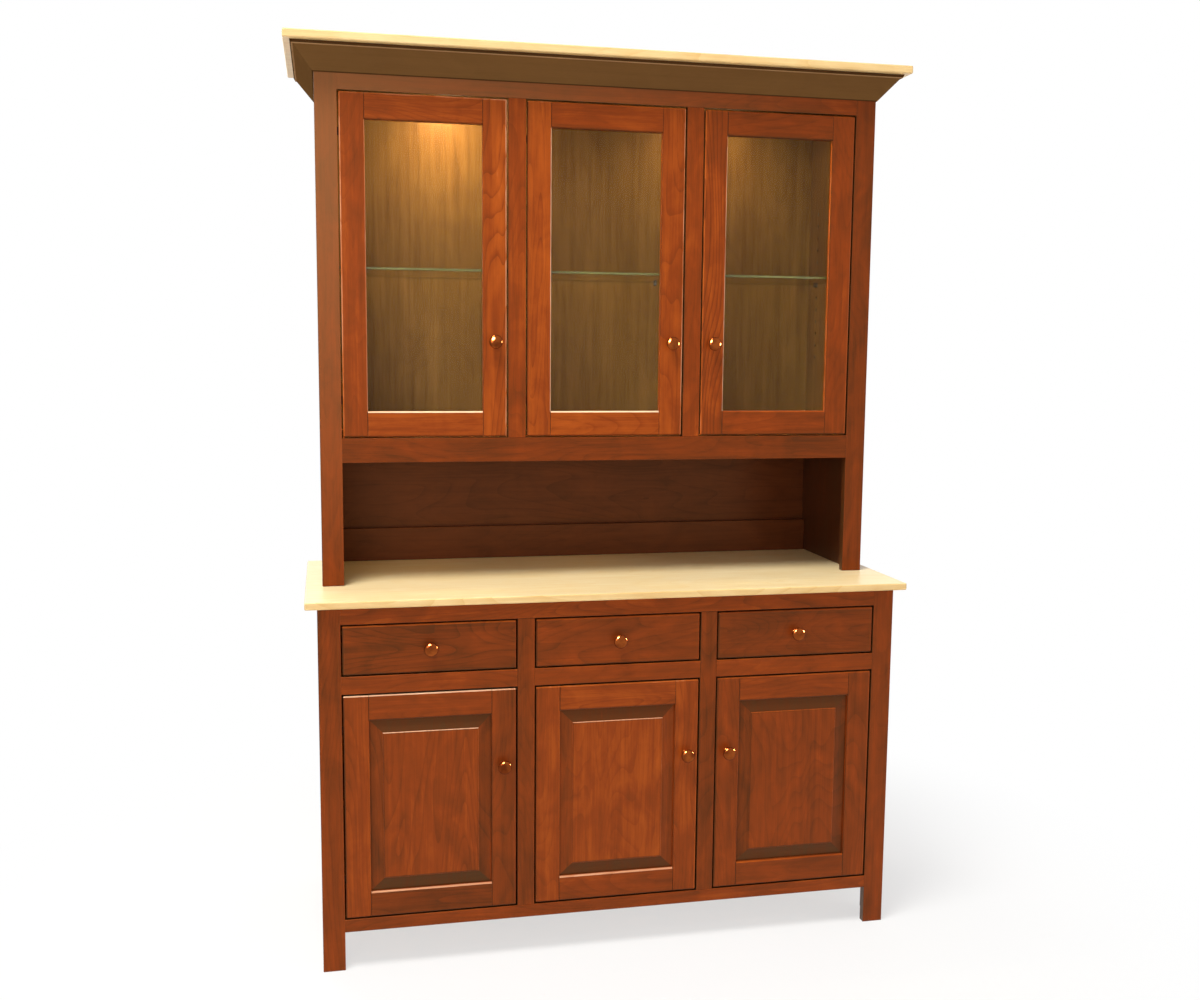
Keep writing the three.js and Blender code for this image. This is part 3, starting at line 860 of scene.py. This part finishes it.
def finish_piece(
    name, mesh, finish, body="case", ease=0.0, node=None, along=None, joints=(), others=(),
    tone=0.0, **grain,
):
    """Makes a piece of a finished mesh, and says what it rides on and which node it replaces.

    The others are (finish, test) of the faces that pass the test and take that finish.
    """
    material, slot = finishes[finish]
    if ease:
        mesh = eased(mesh, ease, joints)
    mesh.name = name
    if along:
        lay_grain(mesh, along, name, tone, **grain)
    if not mesh.materials:
        mesh.materials.append(material)
    elif mesh.materials[0] is None:
        mesh.materials[0] = material
    for index, (other, test) in enumerate(others):
        mesh.materials.append(finishes[other][0])
        for face in mesh.polygons:
            if test(face):
                face.material_index = index + 1
    piece = link_object(name, mesh)
    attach(piece, body)
    if node:
        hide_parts(node)
    return piece


def board(name, x, y, z, along, finish, notches=(), splits=(), **words):
    return finish_piece(
        name, board_mesh((x, y, z), notches, splits), finish, along=along, **words)


def whole_board(name, node, finish, **words):
    """A board that fills its node's box, with its grain along X."""
    board(name, *zip(*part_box(node)), "X", finish, node=node, **words)


def screws(name, places, body="case", radius=0.0035):
    """Screws at the places, with their heads to the back."""
    points = points_mesh("points", places, "facing", [(0, 1, 0)] * len(places))
    mesh = grown(points, screw_tree, {
        "Head Radius": radius, "Head Height": 0.4 * radius, "Recess Width": 0.26 * radius,
        "Finish": finishes["steel"][0]})
    finish_piece(name, mesh, "steel", body)


# Case of the base


def face_frame(case, plane, half, mullion, bay, z, tones, side_tone, blooms=(None, None)):
    """Two stiles, two mullions and the top rail of a case's front; gives what makes a rail.

    The levels are those of the frame's foot and head, and of its openings between them. The
    tones are those of the left and right stile, the mullions and the rail, and the painted
    sheens those of the left stile and the rail.
    """
    foot, low, high, head = z
    inner = half - case_stile
    front = (plane, plane + board_thickness)

    def upright(name, x, z, tone, joints, **words):
        board(f"{case}_{name}", x, front, z, "Z", "cherry", tone=tone, joints=joints,
              ease=frame_ease, **words)

    def rail(name, low, high, tone, x=(-inner, inner), **words):
        board(f"{case}_{name}", x, front, (low, high), "X", "cherry", tone=tone,
              joints=[(0, end, joint_share) for end in x], ease=frame_ease, **words)

    for (side, sign), tone in zip(sides, tones):
        upright(f"stile_{side}", sorted((sign * inner, sign * half)), (foot, head), tone,
                [(0, edge, stile_share) for edge in (-inner, inner)],
                node=f"{case}_face_frame", face_tone=tone_towards(-sign, 0, side_tone),
                bloom=blooms[0] if sign < 0 else None)
        middle = sign * (bay + mullion) / 2
        upright(f"mullion_{side}", (middle - mullion / 2, middle + mullion / 2), (low, high),
                tones[2], [(2, end, joint_share) for end in (low, high)], face_tone=gap_tone)
    rail("top_rail", high, head, tones[3], face_tone=gap_tone, bloom=blooms[1])
    return rail


def rebate_notch(sign, inner, z):
    """The rebate along a side's inner face that takes the back."""
    return (sorted((sign * (inner - overcut), sign * (inner + back_rebate))),
            (back_face - seam, back_y + overcut), z)


def base_case():
    rail = face_frame(
        "base", face_y, half_case, base_mullion, base_bay,
        (0, door_foot, base_top - base_top_rail, base_top - seam),
        (-0.17, -0.17, -0.17, -0.06), painted_shade)
    # Painted shade on the apron's top, in the gap under the doors
    rail("apron", foot_height, door_foot, -0.06, face_tone=tone_towards(0, 1, painted_shade))
    for step, name in enumerate(bays, -1):
        centre = step * (base_bay + base_mullion)
        rail(f"rail_{name}", drawer_floor - middle_rail, drawer_floor, -0.08,
             (centre - base_bay / 2, centre + base_bay / 2), face_tone=gap_tone)


def base_carcase():
    def inside(name, x, z, along="Y", y=base_depth, **words):
        board(name, sorted(x), y, z, along, "interior", **{"ease": panel_ease, **words})

    def runners(name, wall, edge, sign):
        """A drawer's guide and the kicker above it, on one side of a wall."""
        inside(f"drawer_guide_{name}", (wall, edge),
               (drawer_floor + seam, drawer_floor + guide_height), ease=inside_ease)
        inside(f"drawer_kicker_{name}", (wall, edge + sign * kicker_lap),
               (drawer_floor + drawer_opening, base_top - seam), ease=inside_ease)

    side_y = (base_depth[0], back_y)
    for name, sign in sides:
        notches = [
            ((-1, 1), (side_y[0] + side_foot_depth, back_y - side_foot_depth),
             (-overcut, foot_height)),
            rebate_notch(sign, base_inner, (foot_height - seam, base_top))]
        board(f"base_side_{name}", sorted((sign * half_case, sign * base_inner)), side_y,
              (0, base_top - seam), "Z", "cherry", notches, ease=frame_ease, tone=-0.04,
              node=f"base_{name}_side")
        runners(f"{name}_end", sign * base_inner, sign * (half_case - case_stile), -sign)
    half = base_inner + back_rebate - seam
    inside("base_back_panel", (-half, half), (foot_height, base_top - seam), "Z",
           (back_face, back_y), tone=-0.05, node="base_back")
    half = base_inner - seam
    for name, level in (("base_floor", door_foot), ("drawer_deck", drawer_floor)):
        inside(f"{name}_board", (-half, half), (level - board_thickness, level), "X", node=name)
    x, y, z = zip(*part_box("base_shelf"))
    edge = y[0] + edging_depth
    inside("base_shelf_board", x, z, "X", (edge, y[1]), node="base_shelf")
    board("base_shelf_edging", x, (y[0], edge), z, "X", "cherry", ease=frame_ease)
    web = board_thickness / 2
    for name, sign in sides:
        centre = sign * (base_bay + base_mullion) / 2
        inside(f"drawer_web_{name}", (centre - web, centre + web),
               (drawer_floor + seam, base_top - seam), node=f"drawer_divider_{name}")
        for mark, reach in (("near", -1), ("far", 1)):
            runners(f"{name}_{mark}", centre + reach * web, centre + reach * base_mullion / 2,
                    reach)


# Hutch


def hutch_case():
    inner = half_hutch - case_stile
    rail = face_frame(
        "hutch", hutch_y, half_hutch, hutch_mullion, hutch_bay,
        (counter_z + seam, hutch_door_foot, hutch_top - hutch_top_rail, hutch_top - seam),
        (-0.18, -0.28, 0.0, -0.08), 0.6 * painted_shade,
        # Painted sheen: a pale wash growing up the left stile and leftwards along the top rail
        [(2, counter_z, hutch_top, 0.5), (0, inner, -inner, 0.5)])
    rail("bottom_rail", counter_z + niche_height, hutch_door_foot, -0.27)
    floor_z = (hutch_door_foot - board_thickness, hutch_door_foot)

    def side_board(name, sign):
        """A side with another finish and tone inside, in the niche and behind the doors;
        in the niche they are painted shade.
        """
        def in_niche(face):
            return sign * face.normal.x < -0.5 and face.center.z <= floor_z[0]

        def behind_doors(face):
            return sign * face.normal.x < -0.5 and face.center.z > floor_z[0]

        # Painted shade on the faces in the niche; a darker tone behind the doors
        def inner_tone(face):
            return -0.55 if in_niche(face) else -0.22 if behind_doors(face) else 0.0

        board(f"hutch_side_{name}", sorted((sign * half_hutch, sign * hutch_inner)),
              (hutch_depth[0], back_y), (counter_z + seam, hutch_top - seam), "Z", "cherry",
              [rebate_notch(sign, hutch_inner, (counter_z, hutch_top))], [(2, floor_z[0])],
              ease=frame_ease, node=f"hutch_{name}_side", tone=-0.02, face_tone=inner_tone,
              others=[("dark", in_niche), ("veneer", behind_doors)])

    for name, sign in sides:
        side_board(name, sign)
    half = hutch_inner + back_rebate - seam
    split = floor_z[0] + board_thickness / 2
    # The niche's part of the back takes the painted shade, the rest the veneer
    for name, z, along, finish, tone in (
        ("niche", (counter_z + seam, split), "X", "dark", -0.26),
        ("hutch", (split, hutch_top - seam), "Z", "veneer", 0.0),
    ):
        board(f"{name}_back_panel", (-half, half), (back_face, back_y), z, along, finish,
              ease=0.0004, node="hutch_back", tone=tone)
    half = hutch_inner - seam
    board("hutch_floor_board", (-half, half), hutch_depth, floor_z, "X", "cherry",
          ease=panel_ease, node="hutch_floor", tone=-0.35)
    # The niche's foot rail takes the painted shade too
    whole_board("niche_foot_rail", "niche_back_rail", "dark", ease=0.0015, tone=-0.2)
    whole_board("cornice_board", "top_board", "maple", ease=top_ease, face_tone=slab_tone)


def crown():
    """The sprung crown: a flat sloping face, a small step and a leaning lip."""
    height, reach = 0.057, 0.050
    lip_foot, lip_head = 0.0490, 0.0504
    points = [
        (seam, 0.0), (0.0018, 0.0), (0.0035, 0.0020), (0.0430, lip_foot), (0.0465, lip_foot),
        (0.0470, lip_head), (reach, height - seam), (0.0346, height - seam), (seam, 0.0150)]
    foot = hutch_top - height

    def crown_tone(face):
        """Painted shade along the foot and under the top, and a painted highlight on the lip's
        arris.
        """
        rise = face.center.z - foot
        if rise < 0.0019 or rise > lip_head + 0.0002:
            return 0.8 * painted_shade
        return 0.5 * painted_highlight if rise > lip_foot - 0.0001 else 0.0

    def run(name, node, ends, mitres, along):
        finish_piece(name, moulding([(*end, foot) for end in ends], mitres, points), "crown",
                     node=node, along=along, ease=0.0004, face_tone=crown_tone)

    half = half_hutch - seam
    run("crown_run_front", "crown_front", [(-half, hutch_y), (half, hutch_y)],
        [(-1, -1, 0), (1, -1, 0)], "X")
    for name, sign in sides:
        x = sign * half_hutch
        run(f"crown_return_{name}", f"crown_{name}", [(x, hutch_y), (x, back_y)],
            [(sign, -1, 0), (sign, 0, 0)], "Y")


def glass_shelf():
    mesh = board_mesh(tuple(zip(*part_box("glass_shelf"))))
    mesh.materials.append(clear_glass)
    mesh.materials.append(glass_edge)
    for face in mesh.polygons:
        face.material_index = 0 if abs(face.normal.z) > 0.5 else 1
    finish_piece("glass_shelf_pane", mesh, "glass", ease=0.0008, node="glass_shelf")


def puck_lights():
    """Two small lights under the hutch's ceiling, each a turned rim round a frosted lens."""
    rim_points = [
        (0.0, seam), (0.0345, seam), (0.0350, 0.0015), (0.0350, 0.0085), (0.0335, 0.0105),
        (0.0305, 0.0110), (0.0280, 0.0105), (0.0275, 0.0080), (0.0, 0.0080)]
    lens_points = [
        (0.0, 0.0084), (0.0271, 0.0084), (0.0271, 0.0096), (0.0200, 0.0106),
        (0.0100, 0.0112), (0.0, 0.0114)]
    for name, sign in sides:
        for part, points, finish in (
            ("rim", rim_points, "steel"), ("lens", lens_points, "lens"),
        ):
            mesh = turned((sign * puck_x, puck_y, hutch_top), (0, 0, -1), points, 40)
            finish_piece(f"puck_{part}_{name}", smooth(mesh), finish)


def shelf_fittings():
    """Shelf pins and the sleeved holes that they stand in."""
    pin, collar, tip = 0.003, 0.0046, 0.0024
    pin_foot = [(0.0, -pin), (pin, -pin)]
    pin_collar = [(pin, 0.0005), (collar, 0.0005), (collar, 0.0018), (pin, 0.0018)]

    def pin_mesh(place, way, profile=(), reach=0.0):
        end = [(pin, reach + 0.0094), (tip, reach + 0.010), (0.0, reach + 0.010)]
        return turned(place, way, [*pin_foot, *profile, *end], 16)

    for case, node, inner, depth, pitch, lowest, highest in (
        ("base", "base_shelf", base_inner, base_depth, base_bay + base_mullion, 0.20, 0.60),
        ("hutch", "glass_shelf", hutch_inner, hutch_depth, hutch_bay + hutch_mullion, 1.34,
         1.88),
    ):
        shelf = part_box(node)[0]
        height = shelf.z - seam - pin
        meshes, holes, facings = [], [], []
        for sign in (-1, 1):
            wall = sign * inner
            for y in (depth[0] + pin_inset, depth[1] - pin_inset):
                meshes.append(pin_mesh((wall, y, height), (-sign, 0, 0), pin_collar))
                for step in range(-6, 7):
                    level = height + step * hole_pitch
                    if step and lowest < level < highest:
                        holes.append((wall - sign * seam, y, level))
                        facings.append((-sign, 0, 0))
            x = sign * pitch / 2
            meshes.append(pin_mesh(
                (x, depth[0] - seam, height), (0, 1, 0), reach=shelf.y - depth[0]))
            meshes.append(pin_mesh((x, depth[1] + seam, height), (0, -1, 0), pin_collar))
        finish_piece(f"{case}_shelf_pins", smooth(joined(meshes)), "steel")
        mesh = grown(points_mesh("points", holes, "facing", facings), sleeve_tree,
                     {"Finish": finishes["steel"][0]})
        finish_piece(f"{case}_shelf_sleeves", smooth(mesh), "steel")


# Doors and drawers


def knob(owner, x, z, front, back):
    """A mushroom knob turned from bronze, with a ring at its foot, and the screw behind it."""
    shares = [
        (0.0, 0.012), (0.60, 0.012), (0.62, 0.05), (0.60, 0.10), (0.50, 0.13), (0.41, 0.19),
        (0.355, 0.28), (0.35, 0.36), (0.38, 0.43), (0.47, 0.50), (0.66, 0.545), (0.84, 0.59),
        (0.95, 0.65), (0.995, 0.72), (1.0, 0.78), (0.975, 0.84), (0.90, 0.89), (0.84, 0.912),
        (0.76, 0.935), (0.66, 0.954), (0.56, 0.968), (0.43, 0.983), (0.30, 0.992),
        (0.15, 0.998), (0.0, 1.0)]
    points = [(r * knob_radius, h * knob_reach) for r, h in shares]
    mesh = smooth(turned((x, front, z), (0, -1, 0), points, 48), 50)
    polished.objects.link(finish_piece(
        f"{owner}_turned_knob", mesh, "bronze", owner, node=f"{owner}_knob"))
    screw_lift = 0.0008
    screws(f"{owner}_knob_screw", [(x, back + screw_lift, z)], owner, radius=0.0042)


def facing_front(face):
    return face.normal.y < -0.9


def hinges(door, hinge_side, low, high):
    """Concealed hinges: cup, flange and arm on the door, clips and screws on the case."""
    # Reaches inwards from the cup's centre, and half the height of each part
    flange_reach, flange_half = (-0.0125, 0.0215), 0.026
    arm_foot, arm_half = 0.010, 0.0095
    bend_reach, bend_half = (arm_foot, 0.0125), 0.0085
    screw_reach, screw_half = 0.005, 0.0205
    clip_width, clip_foot, clip_screw, clip_head = 0.011, 0.0105, 0.0175, 0.0245
    inward = -hinge_side
    edge = low.x if hinge_side < 0 else high.x
    centre = edge + inward * cup_inset
    outer = edge - inward * (door_gap + hinge_lap)
    back = high.y
    arm_y = (back + 0.0016, back + 0.0032)
    cup_points = [
        (0.0, 0.010), (0.0145, 0.010), (0.0155, 0.0), (cup_radius, 0.0),
        (cup_radius - seam, cup_depth), (0.0, cup_depth)]
    door_screws, case_screws = [], []
    for end, z in (("top", high.z - hinge_inset), ("bottom", low.z + hinge_inset)):
        def plate(reach, y, half):
            x = sorted(centre + inward * r for r in reach)
            return board_mesh((x, y, (z - half, z + half)))

        cup = smooth(turned((centre, arm_y[0], z), (0, -1, 0), cup_points, 32))
        flange = plate(flange_reach, (back + seam, back + 0.0015), flange_half)
        arm = plate((arm_foot, inward * (outer - centre)), arm_y, arm_half)
        bend = plate(bend_reach, (back - 0.006, arm_y[1]), bend_half)
        # Their front faces take the painted shade of the gaps they show in
        finish_piece(f"{door}_hinge_{end}_arm", joined([cup, flange, arm, bend]), "steel",
                     door, ease=steel_ease, node=f"{door}_hinge_{end}",
                     others=[("shaded", facing_front)])
        for label, side in (("lower", -1), ("upper", 1)):
            door_screws.append(
                (centre + inward * screw_reach, back + 0.0019, z + side * screw_half))
            x = sorted((outer, outer + inward * clip_width))
            board(f"{door}_hinge_{end}_clip_{label}", x, (back + seam, back + 0.0028),
                  sorted((z + side * clip_foot, z + side * clip_head)), None, "steel",
                  ease=steel_ease)
            case_screws.append((sum(x) / 2, arm_y[1], z + side * clip_screw))
    screws(f"{door}_hinge_screws", door_screws, door)
    screws(f"{door}_clip_screws", case_screws, "case", radius=0.0030)


def opening(low, high, grow=0.0):
    """A door's opening as its spans in x and z, grown all round."""
    return ((low.x + door_stile - grow, high.x - door_stile + grow),
            (low.z + door_rail - grow, high.z - door_rail + grow))


def rectangle(x, z, y):
    """The corners of a rectangle and the mitres that point into it."""
    corners = [(x[0], y, z[0]), (x[1], y, z[0]), (x[1], y, z[1]), (x[0], y, z[1])]
    return corners, [(1, 0, 1), (-1, 0, 1), (-1, 0, -1), (1, 0, -1)]


def door_frame(door, low, high, notch, hidden_cuts):
    """Two stiles over the whole height and two rails between them.

    The edges of the cuts that hold the pane or panel stay nearly sharp.
    """
    x, z = opening(low, high)
    tones, *highlights = doors[door]
    for (label, across, level, along, share), tone in zip((
        ("stile_left", (low.x, x[0]), (low.z, high.z), "Z", stile_share),
        ("stile_right", (x[1], high.x), (low.z, high.z), "Z", stile_share),
        ("rail_top", x, (z[1], high.z), "X", joint_share),
        ("rail_bottom", x, (low.z, z[0]), "X", joint_share),
    ), tones):
        joints = [(0, place, share) for place in x] + [(1, y, joint_share) for y in hidden_cuts]
        board(f"{door}_{label}", across, (low.y, high.y), level, along, "cherry", [notch],
              [(2, place) for place in z] if along == "Z" else (), body=door, ease=door_ease,
              node=f"{door}_frame", tone=tone, joints=joints,
              face_tone=edge_tone(low, high, *highlights), figure=figures.get(f"{door}_{label}"))


def glass_door(door, low, high):
    cut = high.y - rebate_depth
    x, z = opening(low, high, rebate_width)
    door_frame(door, low, high, (x, (cut, high.y + overcut), z), [cut])
    x, z = opening(low, high, rebate_width - pane_clearance)
    pane_y = [corner.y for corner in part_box(f"{door}_glass")]
    finish_piece(f"{door}_pane", board_mesh((x, pane_y, z)), "glass", door, ease=0.0005,
                 node=f"{door}_glass")
    size = rebate_width - 0.0006
    plane = pane_y[1] + 0.0002
    depth = high.y - plane - 0.0002
    turns = [math.pi / 2 * i / 5 for i in range(6)]
    section = [(0.0, 0.0)] + [(size * math.sin(t), depth * math.cos(t)) for t in turns]
    corners, mitres = rectangle(*opening(low, high, rebate_width - bead_clearance), plane)
    for index, (side, along) in enumerate(zip(("bottom", "right", "top", "left"), "XZXZ")):
        ends = (index, (index + 1) % 4)
        mesh = moulding(
            [corners[i] for i in ends], [mitres[i] for i in ends], section, (0, 1, 0))
        finish_piece(f"{door}_bead_{side}", smooth(mesh), "cherry", door, along=along,
                     tone=-0.05)


def panel_section():
    """Half of the raised panel's outline, from the tongue's back to the field."""
    foot, head = panel_setback - 0.0007, field_setback + 0.0015
    hollow, round_width, steps = 0.0006, 0.0026, 8
    slope, arris = [], []
    for i in range(steps + 1):
        share = i / steps
        slope.append((seam + (bevel_width - 0.0008) * share,
                      -(foot + (head - foot) * share) - hollow * math.sin(math.pi * share)))
        turn = math.pi / 2 * share
        arris.append((bevel_width + round_width * (1 - math.cos(turn)),
                      -head + (head - field_setback) * math.sin(turn)))
    return [
        (-tongue_reach, -(panel_setback + tongue_thickness)),
        (-tongue_reach, -panel_setback), (seam, -panel_setback), *slope, *arris]


def panel_door(door, low, high):
    x, z = opening(low, high, panel_groove)
    groove_y = (low.y + panel_setback - seam, low.y + panel_setback + tongue_thickness + seam)
    door_frame(door, low, high, (x, groove_y, z), groove_y)
    corners, mitres = rectangle(*opening(low, high), low.y)
    mesh = moulding(corners, mitres, panel_section(), (0, -1, 0), path_wraps=True,
                    section_wraps=False)
    tones, _, foot_highlight, *_ = doors[door]
    finish_piece(f"{door}_raised_panel", smooth(mesh, 12), "cherry", door, along="Z",
                 node=f"{door}_panel", tone=tones[-1], face_tone=bevel_tone(foot_highlight))


def hang_door(door, make, hinge_side):
    """Makes a door, with its knob on the side away from its hinges."""
    low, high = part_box(f"{door}_frame")
    make(door, low, high)
    knob_x = (low.x if hinge_side > 0 else high.x) + hinge_side * door_stile / 2
    knob(door, knob_x, sum(corner.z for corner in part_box(f"{door}_knob")) / 2, low.y, high.y)
    hinges(door, hinge_side, low, high)


def drawer(body, tone, highlight):
    """A drawer: its face, and a box of four walls dovetailed at the corners and a bottom."""
    def face_tone(face):
        return gap_tone(face, highlight)

    def wall(name, x, y, along, **words):
        board(f"{body}_wall_{name}", x, y, z, along, "interior", [groove], body=body,
              ease=0.0008, **words)

    whole_board(f"{body}_face", f"{body}_front", "cherry", body=body, ease=door_ease,
                face_tone=face_tone, tone=tone)
    x, y, z = zip(*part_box(f"{body}_box"))
    inner_x, inner_y = ((span[0] + drawer_wall, span[1] - drawer_wall) for span in (x, y))
    groove_x, groove_y = (
        (span[0] - drawer_groove, span[1] + drawer_groove) for span in (inner_x, inner_y))
    groove_foot, groove_head = 0.008, 0.014
    groove_z = (z[0] + groove_foot, z[0] + groove_head)
    groove = (groove_x, groove_y, groove_z)
    wall("left", (x[0], inner_x[0]), y, "Y", node=f"{body}_box")
    wall("right", (inner_x[1], x[1]), y, "Y", node=f"{body}_box")
    first_pin, pin_lift = 0.017, 0.0004
    for end, span, taper in (
        ("front", (y[0], inner_y[0]), 0.22), ("back", (inner_y[1], y[1]), -0.22),
    ):
        wall(end, inner_x, span, "X", tone=-0.03)
        for (side, sign), edge in zip(sides, (x[0], inner_x[1])):
            pin_x = edge + drawer_wall / 2 + sign * pin_lift
            mesh = grown(bpy.data.meshes.new("empty"), pin_tree, {
                "Pin Count": 4, "Pin Step": 0.026, "Pin Width": 0.011,
                "Pin Depth": drawer_wall, "Pin Length": drawer_wall + 0.001,
                "Pin Taper": taper, "First Pin": (pin_x, sum(span) / 2, z[0] + first_pin),
                "Finish": finishes["interior"][0]})
            finish_piece(f"{body}_pins_{end}_{side}", mesh, "interior", body, along="Z",
                         tone=-0.22)
    board(f"{body}_bottom", groove_x, groove_y, (groove_z[0] + seam, groove_z[1] - seam), "X",
          "interior", body=body, tone=0.06)
    low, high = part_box(f"{body}_front")
    knob(body, (low.x + high.x) / 2, (low.z + high.z) / 2, low.y, inner_y[0])


def back_screws():
    """Screws that hold both backs in their rebates."""
    inset, pitch, spaces = 0.05, 0.24, 6
    past_wall, past_inset, screw_lift = 0.004, 0.035, 0.0006
    places = []
    behind = back_y + screw_lift
    for inner, foot, head in (
        (base_inner, foot_height, base_top), (hutch_inner, counter_z, hutch_top),
    ):
        half = inner + past_wall
        low, high = foot + inset, head - inset
        count = max(3, round((high - low) / pitch) + 1)
        places += [
            (side * half, behind, low + (high - low) * i / (count - 1))
            for i in range(count) for side in (-1, 1)]
        places += [
            (-half + 2 * half * i / spaces, behind, z)
            for i in range(1, spaces) for z in (low - past_inset, high + past_inset)]
    screws("back_screws", places, radius=0.004)


# Stage


def place_camera():
    """The camera solved from the photograph: turned right, tipped down and rolled."""
    turn, tip, roll = (math.radians(angle) for angle in (-12.309, -6.907, 0.511))
    photo_width, focal_pixels = 1200, 1255.6
    data = bpy.data.cameras.new("camera")
    data.sensor_width = 36.0
    data.lens = data.sensor_width * focal_pixels / photo_width
    data.clip_end = 100
    camera = link_object("camera", data)
    camera.matrix_world = (
        Matrix.Translation((-0.65781, -3.05266, 1.42479)) @ Matrix.Rotation(turn, 4, "Z")
        @ Matrix.Rotation(math.pi / 2 + tip, 4, "X") @ Matrix.Rotation(roll, 4, "Z"))
    bpy.context.scene.camera = camera


def lamp(name, place, target, size, watts, colour, spread=180, only_for=None):
    """A round lamp; where it is only for a collection, it lights nothing else."""
    data = bpy.data.lights.new(name, "AREA")
    data.spread = math.radians(spread)
    data.shape = "DISK"
    data.size = size
    data.energy = watts
    data.color = colour
    made = link_object(name, data)
    made.location = place
    made.rotation_mode = "QUATERNION"
    made.rotation_quaternion = (Vector(target) - Vector(place)).to_track_quat("-Z", "Y")
    made.light_linking.receiver_collection = only_for


def seen_share(net):
    """1 for what the eye sees straight, in a reflection or through glass, and 0 for light."""
    ray = net.add("LightPath").outputs
    seen = net.maths("MAXIMUM", ray["Is Camera Ray"], ray["Is Glossy Ray"])
    seen = net.maths("MAXIMUM", seen, ray["Is Transmission Ray"])
    return net.times(seen, net.maths("LESS_THAN", ray["Diffuse Depth"], 0.5))


def light_the_stage():
    """Pale surroundings, lamps on the whole piece, two glints for the knobs, and warm lights."""
    world = bpy.data.worlds.new("surroundings")
    bpy.context.scene.world = world
    world.use_nodes = True
    net = Net(world.node_tree)
    net.tree.nodes.clear()
    lit, seen = (
        net.put("Background", {"Color": colour, "Strength": strength})
        for colour, strength in (((1.0, 0.985, 0.96, 1), 0.36), ((1, 1, 1, 1), 1.0)))
    net.add("OutputWorld", {"Surface": net.mix_shaders(seen_share(net), lit, seen)})
    lamp("key", (-1.5, -1.5, 5.2), (0, -0.2, 1.2), 1.9, 225, (1, 0.98, 0.94))
    lamp("fill", (-1.9, -4.2, 1.9), (0, 0, 0.9), 2.0, 44, (1, 0.98, 0.95))
    lamp("side", (3.4, -1.5, 1.7), (0, -0.2, 1.1), 0.5, 14, (1, 0.98, 0.95))
    lamp("rim", (-2.2, 3.6, 3.2), (0, 0, 1.05), 2.4, 56, (1, 0.95, 0.86))
    for name, place, size, watts in (
        ("front_glint", (-1.1, -3.7, 2.9), 1.5, 1100),
        ("side_glint", (3.2, -1.4, 1.3), 0.9, 340),
    ):
        lamp(name, place, (0, 0, 1.2), size, watts, (0.8, 0.9, 1), only_for=polished)
    for x, watts in ((-0.46, 0.12), (0, 0.08), (0.46, 0.03)):
        place = (x, 0.1, counter_z + niche_height - 0.03)
        lamp("niche_bounce", place, (x, 0.1, counter_z), 0.3, watts, (1, 0.6, 0.1))
    for sign, watts in puck_watts:
        x, z = sign * puck_x, hutch_top - 0.03
        lamp("hutch_glow", (x, puck_y, z), (x, puck_y + 0.06, z - 0.3), 0.09, watts,
             (1, 0.8, 0.52))
        lamp("hutch_pool", (x, puck_y, z), (x, back_face, z - 0.14), 0.05, 0.07 * watts,
             (1, 0.66, 0.34), 80)


def lay_floor():
    """A pale floor that keeps the cupboard's shadow and fades to white round it."""
    mesh = bpy.data.meshes.new("floor")
    reach = 14
    mesh.from_pydata(
        [(-reach, -reach, 0), (reach, -reach, 0), (reach, reach, 0), (-reach, reach, 0)],
        [], [(0, 1, 2, 3)])
    material, net, shader, output = new_material("pale_floor", {
        "Base Color": (0.9, 0.9, 0.9, 1), "Roughness": 0.9, "Specular IOR Level": 0.1})
    far = net.put("MapRange", {
        "Value": net.vectors("LENGTH", {0: net.place()}, "Value"), "From Min": 0.6,
        "From Max": 1.7, "To Min": 0.62, "To Max": 1.0}, interpolation_type="SMOOTHSTEP")
    white = net.put("Emission", {"Color": (1, 1, 1, 1), "Strength": 1.0})
    share = net.times(seen_share(net), far)
    net.fill(output, {"Surface": net.mix_shaders(share, shader.outputs[0], white)})
    mesh.materials.append(material)
    link_object("floor", mesh)


# What the two glint lamps light
polished = bpy.data.collections.new("polished")

place_camera()
light_the_stage()
lay_floor()

base_case()
base_carcase()
whole_board("counter", "countertop", "maple", ease=top_ease, face_tone=slab_tone)
hutch_case()
crown()
glass_shelf()
puck_lights()
shelf_fittings()
for bay, (side_of_hinge, drawer_tone, drawer_highlight) in bays.items():
    hang_door(f"glass_door_{bay}", glass_door, side_of_hinge)
    hang_door(f"base_door_{bay}", panel_door, side_of_hinge)
    drawer(f"drawer_{bay}", drawer_tone, drawer_highlight)
back_screws()

bpy.context.scene.view_settings.view_transform = "Standard"
